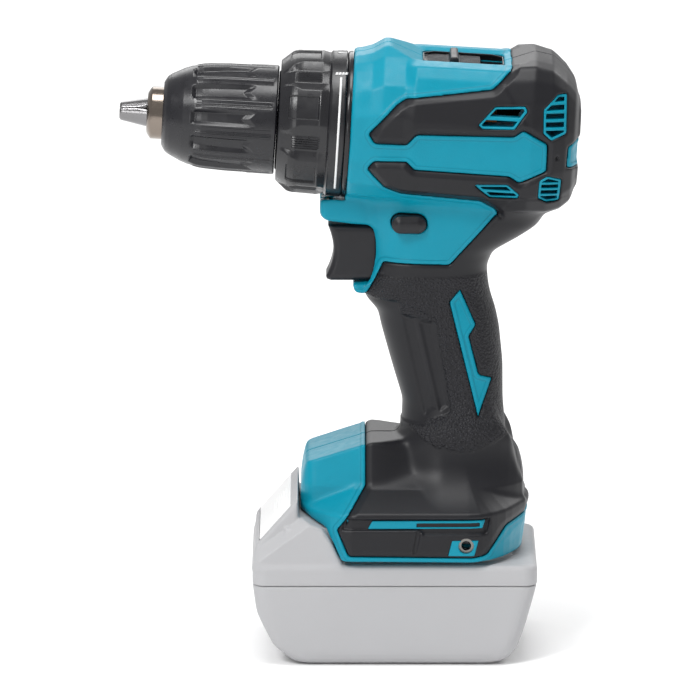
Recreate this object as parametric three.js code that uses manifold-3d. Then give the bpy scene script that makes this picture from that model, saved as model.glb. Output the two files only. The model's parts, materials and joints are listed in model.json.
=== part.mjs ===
// Cordless drill driver with a slide-on battery pack, as separate pieces.
//
// Millimetres. -X points along the chuck, +X to the rear of the tool, +Z up.
// Z = 0 is the underside of the battery pack and Y = 0 is the plane where the
// two housing halves meet. The motor and the gears lie on one axis, which
// rises slightly towards the chuck. Pieces on that axis are modelled along X
// and stand in one tilted group.
import * as THREE from 'three';
import Module from 'manifold-3d';
import { mergeVertices } from 'three/addons/utils/BufferGeometryUtils.js';

const wasm = await Module();
wasm.setup();

// ---------------------------------------------------------------- sizes

const BEYOND = 300; // past every surface, for shapes that cut
const GAP = 0.3; // between pieces that rest on or in each other
const RUNNING_GAP = 0.15; // on radius, between a shaft and its bore
const FLATNESS = 0.05; // cuts leave slivers flatter than this, which are merged

// Head: where its axis lies and how far it leans back.
const HEAD_TILT = 3.4; // degrees
const HEAD_Z = 214.9;
const HEAD_WIDTH = 65;
const HEAD_TOP = 31.2;
const HEAD_BOTTOM = 28.5;
const HUMP_TOP = 36;
const HEAD_LENGTH = 91.08;

// Shell: the soft cover lies in a pocket and stands a little proud of it.
const COVER_DEPTH = 1.5;
const COVER_PROUD = 0.8;
const COVER_SIDE_GAP = 0.15;
const HANDLE_WALL = 4.4;

// Motor and gears, as distances along the head axis from the shell's front.
const MOTOR_RADIUS = 24;
const STATOR_FRONT = 33;
const STATOR_TEETH = 6;
const ROTOR_RADIUS = 12.6;
const SHAFT_RADIUS = 2.5;
const FAN_LENGTH = 8;
const FAN_BLADES = 9;
const BEARING_RADIUS = 8;
const BEARING_WIDTH = 5;
const REAR_WALL = 11.08; // from the rear bearing to the end of the head
const REAR_BEARING_FRONT = HEAD_LENGTH - REAR_WALL - BEARING_WIDTH;
const FAN_FRONT = REAR_BEARING_FRONT - 3 - FAN_LENGTH;
const STATOR_LENGTH = FAN_FRONT - 6 - STATOR_FRONT;
const SHAFT_END = REAR_BEARING_FRONT + BEARING_WIDTH + 0.5;
const GEAR_MODULE = 0.7;
const SUN_TEETH = 12;
const PLANET_TEETH = 18;
const PLANET_COUNT = 3;
const GEAR_FRONT = 10.5;
const GEAR_WIDTH = 7;
const GEAR_CASE_WALL = 1.8;
const GEAR_CASE_REAR = 24;
const CARRIER_THICKNESS = 4;
const CARRIER_RADIUS = 14;
const PIN_RADIUS = 1.9;
const SPINDLE_RADIUS = 6;
const SPINDLE_FRONT = -40;

// Clutch collar and what it turns on.
const COLLAR_FRONT = -28.8;
const COLLAR_REAR = -2.4;
const COLLAR_RADIUS = MOTOR_RADIUS + 6.3; // it turns over the gear case
const COLLAR_FACE_RADIUS = COLLAR_RADIUS - 5.7;
const COLLAR_BORE = MOTOR_RADIUS - 1.5;
const COLLAR_PADS = 6;
const NOSE_RADIUS = 14.4;
const NOSE_FRONT = -27;
const SPINDLE_BEARING_RADIUS = 11;
const SPINDLE_BEARING_WIDTH = 8;

// Chuck.
const CHUCK_NOSE = -81.5;
const CHUCK_NOSE_RADIUS = 10.1;
const CHUCK_BODY_RADIUS = 12.4;
const CHUCK_REAR = -29.5;
const SLEEVE_FRONT = -75.2;
const SLEEVE_RADIUS = 21.6;
const SLEEVE_INNER = 17.8;
const SLEEVE_GROOVES = 12;
const JAW_TIP = -92.7;
const JAW_REAR = -62;
const JAW_RADIUS = 3.2;
const JAW_LEAN = 14; // degrees
const JAW_OFFSET = 0.9;
const JAW_COUNT = 3;
const JAW_NUT_FRONT = -70;
const JAW_NUT_WIDTH = 5;

// Work light, trigger, switch and direction lever, in the tool's own frame.
const TRIGGER_HALF = 8.6;
const TRIGGER_TRAVEL = 6.5;
const TRIGGER_REAR = 12;
const LAMP_X = -11.9;
const LAMP_HALF = 5.2;
const LAMP_HIGH = HEAD_Z - COLLAR_RADIUS - 0.6;
const LAMP_LOW = LAMP_HIGH - 5;
const TRIGGER_TOP = LAMP_LOW - 3.8;
const TRIGGER_BOTTOM = TRIGGER_TOP - 22;
const SPRING_Z = TRIGGER_TOP - 11.2;
const SWITCH_REAR = 46;
const SWITCH_HALF = 10.5;
const SWITCH_BOTTOM = 150.5;
const SWITCH_TOP = 172;
const LEVER_X = 23.6;
const LEVER_Z = 178.2;
const LEVER_LENGTH = 13.9;
const LEVER_HEIGHT = 7.4;
const LEVER_HALF = 23.6;

// Speed selector on top of the head.
const SLOT_FRONT = 27.5;
const SLOT_LENGTH = 32.5;
const SLOT_HALF = 12.5;
const SLOT_DEPTH = 4.7;
const SELECTOR_FRONT = 24.3;
const SELECTOR_LENGTH = 26.3;
const SELECTOR_THICKNESS = 1.7;
const SELECTOR_RIB_X = 40;

// Foot and battery. The cells set the pack's length and height, and the pack
// sets the foot's width and the levels of the rails that it slides on.
const CELL_RADIUS = 9.1;
const CELL_COLUMNS = 5;
const CELL_PITCH = 18.6;
const CELL_FLOOR = 12.2;
const CELL_END_ROOM = 3.6; // between a cell's end and the case's side
const BATTERY_X = 18;
const BATTERY_WIDTH = 75;
const BATTERY_WALL = 1.4;
const BATTERY_LENGTH = CELL_COLUMNS * CELL_PITCH + 21.5;
const BATTERY_TOP = CELL_FLOOR + CELL_PITCH + CELL_RADIUS + 1.6;
const BATTERY_SEAM = BATTERY_TOP - 8.5;
const CELL_LENGTH = BATTERY_WIDTH - 2 * (BATTERY_WALL + CELL_END_ROOM);
const FOOT_RIM = BATTERY_TOP + 2.1;
const FOOT_HALF = BATTERY_WIDTH / 2 + 2;
const FOOT_NOSE = -20.5;
const FOOT_WALL = 6.4; // beside the bay that takes the battery's head
const BAY_HALF = FOOT_HALF - FOOT_WALL;
const RAIL_TOP = FOOT_RIM + 6.4;
const RAIL_HALF = BAY_HALF - 3;
const BAY_TOP = RAIL_TOP + 11;
const BAY_FRONT = -46;
const BAY_REAR = 66;
const BAY_CLEARANCE = 0.3;
const TERMINAL_HALF = 14;
const BUTTON_HALF = 14;
const BUTTON_LENGTH = 13;
const BUTTON_TRAVEL = 5;
const INSERT_X = 46.6;
const INSERT_Z = FOOT_RIM + 6.5;
const INSERT_RADIUS = 3.1;
const INSERT_LENGTH = 5;

// ------------------------------------------------------------ materials

const material = (color, roughness, metalness = 0) =>
  new THREE.MeshStandardMaterial({ color, roughness, metalness });
const TEAL = material(0x0fa0bb, 0.45);
const SOFT_BLACK = material(0x303238, 0.8);
const HARD_BLACK = material(0x35363c, 0.5);
const STEEL = material(0xb9bcc2, 0.3, 1);
const DARK_STEEL = material(0x5c5e63, 0.4, 1);
const ALUMINIUM = material(0xa7abb0, 0.45, 1);
const COPPER = material(0xb06a3b, 0.4, 1);
const CIRCUIT = material(0x1f6b43, 0.6);
const PALE = material(0xc0c0c3, 0.55);
const WHITE = material(0xf2f2f2, 0.5);
const CLEAR = material(0xd7dde2, 0.15);
const BRASS = material(0xc8a860, 0.35, 1);
const RED = material(0xb02a26, 0.5);
const CELL_GREEN = material(0x4a8f72, 0.4);

// -------------------------------------------------------------- helpers

const radians = THREE.MathUtils.degToRad;

// A closed manifold solid from any closed geometry, with its faces out.
function solid(geometry) {
  const bare = geometry.index ? geometry.toNonIndexed() : geometry.clone();
  bare.deleteAttribute('normal');
  bare.deleteAttribute('uv');
  const merged = mergeVertices(bare, 1e-4);
  const points = merged.attributes.position.array;
  const faces = [];
  let volume = 0;
  const [a, b, c] = [new THREE.Vector3(), new THREE.Vector3(), new THREE.Vector3()];
  for (let i = 0; i < merged.index.count; i += 3) {
    const face = [0, 1, 2].map((k) => merged.index.getX(i + k));
    if (new Set(face).size < 3) continue;
    faces.push(face);
    [a, b, c].forEach((corner, k) => corner.fromArray(points, face[k] * 3));
    volume += a.dot(b.cross(c));
  }
  if (volume < 0) faces.forEach((face) => face.reverse());
  const mesh = new wasm.Mesh({
    numProp: 3,
    vertProperties: Float32Array.from(points),
    triVerts: Uint32Array.from(faces.flat()),
  });
  return new wasm.Manifold(mesh);
}

function geometryOf(body) {
  const mesh = body.simplify(FLATNESS).getMesh();
  const geometry = new THREE.BufferGeometry();
  const points = new THREE.BufferAttribute(Float32Array.from(mesh.vertProperties), 3);
  geometry.setAttribute('position', points);
  geometry.setIndex(new THREE.BufferAttribute(Uint32Array.from(mesh.triVerts), 1));
  const faceted = geometry.toNonIndexed();
  faceted.computeVertexNormals();
  return faceted;
}

const unite = (...bodies) => bodies.reduce((sum, body) => sum.add(body));
const cut = (body, ...tools) => tools.reduce((rest, tool) => rest.subtract(tool), body);

function outline(points) {
  return new THREE.Shape(points.map(([x, y]) => new THREE.Vector2(x, y)));
}

// An outline whose corners are rounded by short curves.
function roundedOutline(points, radius) {
  const shape = new THREE.Shape();
  points.forEach(([x, y], i) => {
    const corner = new THREE.Vector2(x, y);
    const before = new THREE.Vector2(...points.at(i - 1)).sub(corner);
    const after = new THREE.Vector2(...points[(i + 1) % points.length]).sub(corner);
    const start = corner.clone().add(before.clone().setLength(Math.min(radius, before.length() / 2)));
    const end = corner.clone().add(after.clone().setLength(Math.min(radius, after.length() / 2)));
    if (i === 0) shape.moveTo(start.x, start.y);
    else shape.lineTo(start.x, start.y);
    shape.quadraticCurveTo(x, y, end.x, end.y);
  });
  shape.closePath();
  return shape;
}

// The same outline with every side moved inwards by one distance.
function inset(points, distance) {
  const turn = Math.sign(THREE.ShapeUtils.area(points.map(([x, y]) => new THREE.Vector2(x, y))));
  return points.map(([x, y], i) => {
    const corner = new THREE.Vector2(x, y);
    const arriving = corner.clone().sub(new THREE.Vector2(...points.at(i - 1))).normalize();
    const leaving = new THREE.Vector2(...points[(i + 1) % points.length]).sub(corner).normalize();
    const normal = new THREE.Vector2(-arriving.y - leaving.y, arriving.x + leaving.x).normalize();
    const across = normal.dot(new THREE.Vector2(-leaving.y, leaving.x));
    const shift = normal.multiplyScalar((turn * distance) / Math.max(across, 0.4));
    return [x + shift.x, y + shift.y];
  });
}

const EXTRUDE = { bevelEnabled: false, curveSegments: 4 };

// A shape drawn in X and Z, as thick as the stretch from y0 to y1.
function prismY(shape, y0, y1) {
  const geometry = new THREE.ExtrudeGeometry(shape, { ...EXTRUDE, depth: y1 - y0 });
  return solid(geometry.rotateX(Math.PI / 2).translate(0, y1, 0));
}

// A shape drawn in Y and Z, from x0 to x1.
function prismX(shape, x0, x1) {
  const geometry = new THREE.ExtrudeGeometry(shape, { ...EXTRUDE, depth: x1 - x0 });
  const axes = [[0, 1, 0], [0, 0, 1], [1, 0, 0]].map((axis) => new THREE.Vector3(...axis));
  geometry.applyMatrix4(new THREE.Matrix4().makeBasis(...axes));
  return solid(geometry.translate(x0, 0, 0));
}

// A shape drawn in X and Y, from z0 to z1.
function prismZ(shape, z0, z1) {
  const geometry = new THREE.ExtrudeGeometry(shape, { ...EXTRUDE, depth: z1 - z0 });
  return solid(geometry.translate(0, 0, z0));
}

// A solid drawn in X and Z whose long edges are rounded.
function softPrismY(shape, half, edge, steps = 2) {
  const settings = { depth: 2 * (half - edge), bevelEnabled: true, bevelThickness: edge };
  Object.assign(settings, { bevelSize: edge, bevelOffset: -edge, bevelSegments: steps, curveSegments: 3 });
  const geometry = new THREE.ExtrudeGeometry(shape, settings);
  return solid(geometry.rotateX(Math.PI / 2).translate(0, half - edge, 0));
}

function block(x0, x1, y0, y1, z0, z1) {
  const geometry = new THREE.BoxGeometry(x1 - x0, y1 - y0, z1 - z0);
  return solid(geometry.translate((x0 + x1) / 2, (y0 + y1) / 2, (z0 + z1) / 2));
}

// Stations of [distance along X, radius], turned about the X axis.
function turned(profile, segments = 32) {
  const closed = [...profile, profile[0]].map(([x, radius]) => new THREE.Vector2(radius, x));
  return solid(new THREE.LatheGeometry(closed, segments).rotateZ(-Math.PI / 2));
}

const rod = (x0, x1, radius, segments = 24) =>
  turned([[x0, 0], [x0, radius], [x1, radius], [x1, 0]], segments);

const ring = (x0, x1, inner, outer, segments = 20) =>
  turned([[x0, inner], [x0, outer], [x1, outer], [x1, inner]], segments);

// A skin through closed rings of equal point count, with flat ends.
function loft(rings) {
  const count = rings[0].length;
  const points = rings.flat();
  const index = [];
  for (let r = 0; r < rings.length - 1; r += 1) {
    for (let k = 0; k < count; k += 1) {
      const a = r * count + k;
      const b = r * count + ((k + 1) % count);
      index.push(a, b, b + count, a, b + count, a + count);
    }
  }
  [0, rings.length - 1].forEach((r) => {
    const middle = [0, 1, 2].map((axis) => rings[r].reduce((sum, p) => sum + p[axis], 0) / count);
    const centre = points.push(middle) - 1;
    for (let k = 0; k < count; k += 1) {
      const pair = [r * count + k, r * count + ((k + 1) % count)];
      index.push(centre, ...(r === 0 ? pair.reverse() : pair));
    }
  });
  const geometry = new THREE.BufferGeometry();
  geometry.setAttribute('position', new THREE.Float32BufferAttribute(points.flat(), 3));
  geometry.setIndex(index);
  return solid(geometry);
}

// An outline in X and Z as thick as twice the half, with its rim rounded off.
function pillowY(points, half, edge) {
  const steps = [[0, 1], [0.3, 0.35], [1, 0]];
  const near = steps.map(([along, shrink]) => [edge * along - half, edge * shrink]);
  const far = near.map(([y, shrink]) => [-y, shrink]).reverse();
  const rings = [...near, ...far].map(([y, shrink]) => inset(points, shrink).map(([x, z]) => [x, y, z]));
  return loft(rings);
}

const inHead = (body) => body.rotate([0, HEAD_TILT, 0]).translate([0, 0, HEAD_Z]);

// -------------------------------------------------------- the body's form

// Half of a head section, as shares of its width, top and bottom: one upper
// edge is a flat facet with a chamfered corner, the other a round.
const FACETED = [[0, 1], [0.4, 1], [0.75, 0.99], [0.87, 0.84], [0.96, 0.58], [1, 0.28], [1, 0]];
const ROUND = [90, 70, 51, 38, 24, 11, 0].map((degrees) => {
  const angle = radians(degrees);
  return [Math.cos(angle), Math.sin(angle)];
});
const UNDERSIDE = [[0.985, 0.32], [0.9, 0.66], [0.7, 0.88], [0.36, 0.98], [0, 1]];

// Head stations: distance, half width, top, bottom, and how faceted it is.
function headStations() {
  const half = HEAD_WIDTH / 2;
  const end = HEAD_LENGTH;
  return [
    [0, half * 0.92, HUMP_TOP * 0.84, HEAD_BOTTOM * 0.97, 0],
    [4, half * 0.945, HUMP_TOP * 0.9, HEAD_BOTTOM * 0.975, 0],
    [10, half * 0.97, HUMP_TOP * 0.99, HEAD_BOTTOM * 0.98, 0.1],
    [19, half * 0.985, HUMP_TOP, HEAD_BOTTOM * 0.99, 0.15],
    [23, half, HEAD_TOP, HEAD_BOTTOM, 1],
    [end - 30, half, HEAD_TOP, HEAD_BOTTOM, 1],
    [end - 19, half, HEAD_TOP + 1.2, HEAD_BOTTOM, 1],
    [end - 12, half * 0.955, HEAD_TOP, HEAD_BOTTOM * 0.99, 0.9],
    [end - 6, half * 0.87, HEAD_TOP * 0.86, HEAD_BOTTOM * 0.94, 0.85],
    [end - 2, half * 0.76, HEAD_TOP * 0.68, HEAD_BOTTOM * 0.85, 0.8],
    [end, half * 0.64, HEAD_TOP * 0.53, HEAD_BOTTOM * 0.72, 0.7],
  ];
}

function headRing([x, half, top, bottom, facet], grow) {
  const upper = FACETED.map(([y, z], i) => [
    (half + grow) * (y * facet + ROUND[i][0] * (1 - facet)),
    (top + grow) * (z * facet + ROUND[i][1] * (1 - facet)),
  ]);
  const lower = UNDERSIDE.map(([y, z]) => [(half + grow) * y, -(bottom + grow) * z]);
  const right = [...upper, ...lower];
  const left = right.slice(1, -1).reverse().map(([y, z]) => [-y, z]);
  return [...right, ...left].map(([y, z]) => [x, y, z]);
}

function headForm(grow) {
  const stations = headStations();
  const last = stations.length - 1;
  const rings = stations.map((station, i) => {
    const shift = i === last ? grow : 0;
    return headRing([station[0] + shift, ...station.slice(1)], grow);
  });
  return inHead(loft(rings));
}

// A level section of the handle or foot. The power sets how square it is
// towards the front and towards the back.
function levelRing(z, front, back, half, middle, powerFront, powerBack, grow, count) {
  return Array.from({ length: count }, (_, k) => {
    const angle = (k / count) * 2 * Math.PI;
    const [c, s] = [Math.cos(angle), Math.sin(angle)];
    const power = 2 / (c < 0 ? powerFront : powerBack);
    const reach = c < 0 ? middle - front + grow : back - middle + grow;
    const x = middle + reach * Math.sign(c) * Math.abs(c) ** power;
    return [x, (half + grow) * Math.sign(s) * Math.abs(s) ** power, z];
  });
}

// Handle sections: height, front, back and half width.
const HANDLE = [
  [196, 8, 72, 19],
  [182, 6, 73.5, 21.4],
  [176, 6.4, 73, 21],
  [171.5, 8, 66.5, 20.2],
  [165, 8.6, 57, 19],
  [158, 7.4, 54.2, 17.8],
  [150, 4.8, 54.9, 17.2],
  [144.9, 6.5, 56, 17],
  [140, 11.3, 57.7, 17],
  [132.6, 12.9, 59.3, 17],
  [117.8, 17, 60.8, 17.2],
  [103, 21.4, 60.9, 17.4],
  [93, 21, 61.8, 18],
  [83, 16, 64.6, 20],
  [74, 8, 69, 24],
];

function handleForm(grow, count) {
  const rings = HANDLE.map(([z, front, back, half]) =>
    levelRing(z, front, back, half, (front + back) / 2, 2.4, 2.6, grow, count));
  return loft(rings);
}

// Foot sections: height, front, back and half width, down to the rim.
const FOOT = [
  [95.2, FOOT_NOSE + 26.5, 60, 9],
  [91.5, FOOT_NOSE + 13.5, 61.5, 18],
  [88, FOOT_NOSE + 7, 62.5, 25],
  [84.3, FOOT_NOSE + 2.3, 64, 27.4],
  [79.6, FOOT_NOSE + 0.3, 67, 28.6],
  [72.7, FOOT_NOSE, 70.5, 30],
  [62.4, FOOT_NOSE + 0.8, 71.8, FOOT_HALF - 0.5],
  [57.8, FOOT_NOSE + 1.7, 71.9, FOOT_HALF],
  [FOOT_RIM, FOOT_NOSE + 8.5, 69.6, FOOT_HALF - 0.1],
];

function footForm(grow, count) {
  const rings = FOOT.map(([z, front, back, half], i) => {
    const level = i === 0 ? z + grow : z;
    return levelRing(level, front, back, half, 30, 3.4, 2.6, grow, count);
  });
  const frontCut = outline([
    [-BEYOND, 58.6], [FOOT_NOSE + 0.9, 58.6], [FOOT_NOSE + 10.5, 57.2],
    [FOOT_NOSE + 18.5, FOOT_RIM - 0.6], [-BEYOND, FOOT_RIM - 0.6],
  ]);
  return cut(loft(rings), prismY(frontCut, -BEYOND, BEYOND));
}

// The chin under the collar, which holds the work light, and the lip under
// the trigger.
function chinForm() {
  const front = LAMP_X - 0.2;
  const chin = roundedOutline([
    [front, LAMP_HIGH + 2], [front, LAMP_LOW + 0.5], [front + 2.5, LAMP_LOW - 1.8],
    [2, TRIGGER_TOP + 0.6], [22, TRIGGER_TOP - 0.6], [22, LAMP_HIGH + 6], [0.4, LAMP_HIGH + 6],
  ], 1.6);
  return prismY(chin, -11, 11);
}

function lipForm() {
  const top = TRIGGER_BOTTOM - 0.6;
  const lip = roundedOutline([
    [1, top], [1, top - 2.2], [3, top - 3.8], [14, top - 4.6], [14, top],
  ], 0.8);
  return prismY(lip, -11, 11);
}

// The visible surface is rounder than the hidden one under the cover.
const OUTER_SIDES = 16;
const HIDDEN_SIDES = 12;
const bodyForm = (grow, sides = OUTER_SIDES) =>
  unite(headForm(grow), handleForm(grow, sides), footForm(grow, sides));

// ------------------------------------------- shell halves and soft covers

// The soft cover's outline on the head, in head coordinates. It runs round
// the bare plate in the middle of the side and on over the rear.
const REAR = HEAD_LENGTH;
const BEYOND_REAR = HEAD_LENGTH + 6;
const HEAD_COVER = [
  [REAR - 27.6, 45], [REAR - 27.6, 30.9], [REAR - 35.5, 22.9], [21.5, 17.4], [18, 14.8], [7.3, 2.5],
  [9.9, -1.1], [22.6, -0.8], [26.3, 3.6], [REAR - 26, 5], [REAR - 22.5, 7.8], [REAR - 12.5, 2.4],
  [REAR - 12.3, -8.5], [REAR - 22.9, -13.9], [REAR - 27, -11.4], [26.2, -10.9], [23, -7.8],
  [10, -8.4], [7.5, -11.8], [15, -19.2], [21.2, -21.6], [REAR - 37.7, -23], [REAR - 31.1, -26.7],
  [REAR - 27, -38], [BEYOND_REAR, -38], [BEYOND_REAR, 45],
];

// The cover's outline on the neck, handle and foot, in the tool's frame.
const GRIP_COVER = [
  [58.5, 182.2], [40, 160.9], [13.5, 161.5], [11.6, 157.1], [9.5, 152.7], [6.4, 147.6], [-4, 147.6],
  [-4, 98], [5.5, 98], [5.5, 72.9], [-5.5, 56.6], [-0.6, 45.8], [49.9, 45.2], [55, 46.3],
  [61.8, 61.5], [72.5, 64.5], [90, 66], [90, 182.2],
];

// The shell's coloured islands that show through the cover.
const GRIP_ISLAND = [
  [44.1, 150.6], [39.8, 145.5], [51.4, 98], [57.1, 113.6], [51.7, 115.4], [47.7, 131.3], [50.6, 135.7],
];
const REAR_ISLAND = [[BEYOND_REAR, 7], [REAR - 4.3, 1.2], [REAR - 4.4, -7.2], [BEYOND_REAR, -9]];

// Vent frames, measured from a place on the head axis, each with its slots as
// two ends and a height. They lie over the fan and behind the stator.
const VENTS = [
  {
    x: HEAD_LENGTH - 41,
    frame: [[6.7, 16.8], [18.7, 17.6], [19.7, 15.6], [14.9, 8.1], [2.2, 7.7], [0.4, 9.2]],
    slots: [[5.5, 18, 13.8], [3, 15, 9.6]],
  },
  {
    x: HEAD_LENGTH - 15,
    frame: [[5.4, 22.3], [9.1, 22.3], [9.7, 7], [3.9, 4.2], [0.5, 7.1], [0.1, 16.6]],
    slots: [[4.5, 8.6, 20.2], [1.6, 8.6, 15.6], [1.6, 8.6, 11], [3.2, 8.4, 6.9]],
  },
  {
    x: HEAD_LENGTH - 41,
    frame: [[0.3, -15.4], [13.6, -14.6], [18.5, -18.7], [18, -20.4], [6.9, -20.8]],
    slots: [[4, 15, -16.6], [7, 16.6, -19.2]],
  },
  {
    x: HEAD_LENGTH - 15,
    frame: [[3.4, -10.4], [8.9, -11.9], [8.6, -21.1], [3.5, -21.8], [0, -19.9], [0.2, -12.4]],
    slots: [[2, 8, -12.3], [1.4, 8, -15.1], [1.4, 8, -17.9], [2.6, 7.6, -20.4]],
  },
];
const VENT_SLOT_HEIGHT = 1.5;
const VENT_REACH = 16; // how near the head axis the slots come

// An island of the shell in the cover, with the gap round it.
const around = (points, gap) => prismY(outline(inset(points, -gap)), -BEYOND, BEYOND);

function coverRegion(gap) {
  const through = (points) => prismY(outline(inset(points, gap)), -BEYOND, BEYOND);
  const frames = VENTS.map(({ x, frame }) => frame.map(([along, z]) => [x + along, z]));
  const islands = [REAR_ISLAND, ...frames].map((points) => inHead(around(points, gap)));
  return cut(unite(inHead(through(HEAD_COVER)), through(GRIP_COVER)), around(GRIP_ISLAND, gap), ...islands);
}

function ventSlots() {
  const slots = VENTS.flatMap((vent) => vent.slots.map(([from, to, z]) => {
    const low = z - VENT_SLOT_HEIGHT / 2;
    return block(vent.x + from, vent.x + to, -BEYOND, BEYOND, low, low + VENT_SLOT_HEIGHT);
  }));
  return inHead(cut(unite(...slots), rod(0, BEYOND, VENT_REACH, 20)));
}

// The bore for the gear case and motor, with a post round the rear bearing.
const BORE_REAR = REAR_BEARING_FRONT + BEARING_WIDTH + 1;
function motorBay() {
  const bore = rod(-1, BORE_REAR, MOTOR_RADIUS + GAP, 32);
  const post = rod(REAR_BEARING_FRONT + GAP, BORE_REAR + 1, BEARING_RADIUS + 2.6, 20);
  const pocketRear = REAR_BEARING_FRONT + BEARING_WIDTH + GAP;
  const pocket = rod(REAR_BEARING_FRONT - 1, pocketRear, BEARING_RADIUS + GAP, 20);
  const shaftEnd = rod(REAR_BEARING_FRONT, SHAFT_END + GAP, SHAFT_RADIUS + GAP, 12);
  return inHead(unite(cut(bore, post), pocket, shaftEnd));
}

// The recess on the head's top with the selector's undercut track in it.
const TRACK_FLOOR = HEAD_TOP - SLOT_DEPTH;
const TRACK_TOP = TRACK_FLOOR + SELECTOR_THICKNESS + 2 * GAP;
function selectorTrack() {
  const end = SLOT_FRONT + SLOT_LENGTH;
  const mouth = [[SLOT_FRONT, -SLOT_HALF], [end, -SLOT_HALF], [end, SLOT_HALF], [SLOT_FRONT, SLOT_HALF]];
  const opening = prismZ(roundedOutline(mouth, 3), TRACK_FLOOR, HEAD_TOP + 6);
  const half = SLOT_HALF + 1.5;
  const track = block(SELECTOR_FRONT - GAP, end + 3, -half, half, TRACK_FLOOR, TRACK_TOP);
  const dished = loft([0, 1].map((step) => {
    const spread = step * 3.5;
    const z = HEAD_TOP - 2 + step * 4;
    return inset(mouth, -spread).map(([x, y]) => [x, y, z]);
  }));
  return inHead(unite(opening, track, dished));
}

function handleBay() {
  const rings = HANDLE.filter(([z]) => z < SWITCH_BOTTOM).map(([z, front, back, half]) =>
    levelRing(z, front, back, half, (front + back) / 2, 2.4, 2.6, -HANDLE_WALL, 12));
  return loft(rings);
}

function controlBays() {
  const triggerFront = -14;
  const triggerRear = TRIGGER_REAR + TRIGGER_TRAVEL + 2;
  const trigger = block(triggerFront, triggerRear, -TRIGGER_HALF - GAP, TRIGGER_HALF + GAP,
    TRIGGER_BOTTOM - GAP, TRIGGER_TOP + GAP);
  const switchBay = block(triggerRear - 1, SWITCH_REAR + GAP, -SWITCH_HALF - GAP, SWITCH_HALF + GAP,
    SWITCH_BOTTOM - 4, SWITCH_TOP + GAP);
  const rear = SWITCH_REAR + 4;
  const leadRear = STATOR_FRONT + STATOR_LENGTH + 10;
  const leadWay = prismY(outline([
    [SWITCH_REAR - 6, SWITCH_TOP - 5], [rear, SWITCH_TOP - 5], [leadRear, SWITCH_TOP + 12],
    [leadRear, HEAD_Z - 19], [SWITCH_REAR - 6, HEAD_Z - 19],
  ]), -8, 8);
  return unite(trigger, switchBay, leadWay);
}

function stadium(length, height) {
  const reach = (length - height) / 2;
  const shape = new THREE.Shape();
  shape.absarc(reach, 0, height / 2, -Math.PI / 2, Math.PI / 2);
  shape.absarc(-reach, 0, height / 2, Math.PI / 2, Math.PI * 1.5);
  return shape;
}

const LEVER_CLEARANCE = 0.3;
function leverHole() {
  const [length, height] = [LEVER_LENGTH, LEVER_HEIGHT].map((size) => size + 2 * LEVER_CLEARANCE);
  return prismY(stadium(length, height), -BEYOND, BEYOND).translate([LEVER_X, 0, LEVER_Z]);
}

function lampPocket() {
  return block(LAMP_X - 3, LAMP_X + 5, -LAMP_HALF - GAP, LAMP_HALF + GAP, LAMP_LOW - GAP, LAMP_HIGH + GAP);
}

// The plan of the bay that takes the battery's head, narrower to the rear.
function bayPlan(half) {
  const side = [
    [BAY_FRONT, half], [BAY_REAR - 14, half], [BAY_REAR - 6, half * 0.82], [BAY_REAR, half * 0.54],
  ];
  return [...side.map(([x, y]) => [x, -y]), ...side.reverse()];
}

const BOARD_FLOOR = BAY_TOP + 3;
function footBays() {
  const head = prismZ(outline(bayPlan(BAY_HALF)), RAIL_TOP - 1, BAY_TOP);
  const slide = block(-BEYOND, BEYOND, -RAIL_HALF, RAIL_HALF, FOOT_RIM - 6, RAIL_TOP);
  const board = block(-10, 55, -23, 23, BOARD_FLOOR, 77);
  const terminalWay = block(16, 30, -8, 8, BAY_TOP - 1, BOARD_FLOOR + 1);
  return unite(head, slide, board, terminalWay);
}

function insertPockets() {
  const pocket = rod(-BEYOND, -FOOT_HALF + INSERT_LENGTH + 2, INSERT_RADIUS + RUNNING_GAP, 16);
  const left = pocket.rotate([0, 0, 90]).translate([INSERT_X, 0, INSERT_Z]);
  return unite(left, left.mirror([0, 1, 0]));
}

function shellHalves() {
  const rubberRegion = coverRegion(0);
  const surface = unite(bodyForm(0), chinForm(), lipForm());
  const core = bodyForm(-COVER_DEPTH - GAP, HIDDEN_SIDES);
  const collarSweep = inHead(rod(COLLAR_FRONT - 12, -GAP, COLLAR_RADIUS + 0.6, 32));
  const openings = unite(motorBay(), selectorTrack(), handleBay(), controlBays(), footBays(),
    ventSlots(), leverHole(), lampPocket(), insertPockets());
  const shell = cut(surface, rubberRegion.subtract(core), collarSweep, openings);
  const cover = cut(bodyForm(COVER_PROUD).intersect(coverRegion(COVER_SIDE_GAP)),
    bodyForm(-COVER_DEPTH, HIDDEN_SIDES), prismZ(outline(bayPlan(BAY_HALF)), 0, BAY_TOP),
    block(-BEYOND, BEYOND, -RAIL_HALF, RAIL_HALF, 0, RAIL_TOP), insertPockets(), collarSweep,
    block(-BEYOND, BEYOND, -BEYOND, BEYOND, 0, FOOT_RIM), ventSlots(), leverHole());
  const leftSide = block(-BEYOND, BEYOND, -BEYOND, 0, 0, BEYOND);
  const rightSide = block(-BEYOND, BEYOND, 0, BEYOND, 0, BEYOND);
  return {
    left_housing: shell.intersect(leftSide),
    right_housing: shell.intersect(rightSide),
    left_grip_cover: cover.intersect(leftSide),
    right_grip_cover: cover.intersect(rightSide),
  };
}

// ------------------------------------------------------- gears and motor

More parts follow.
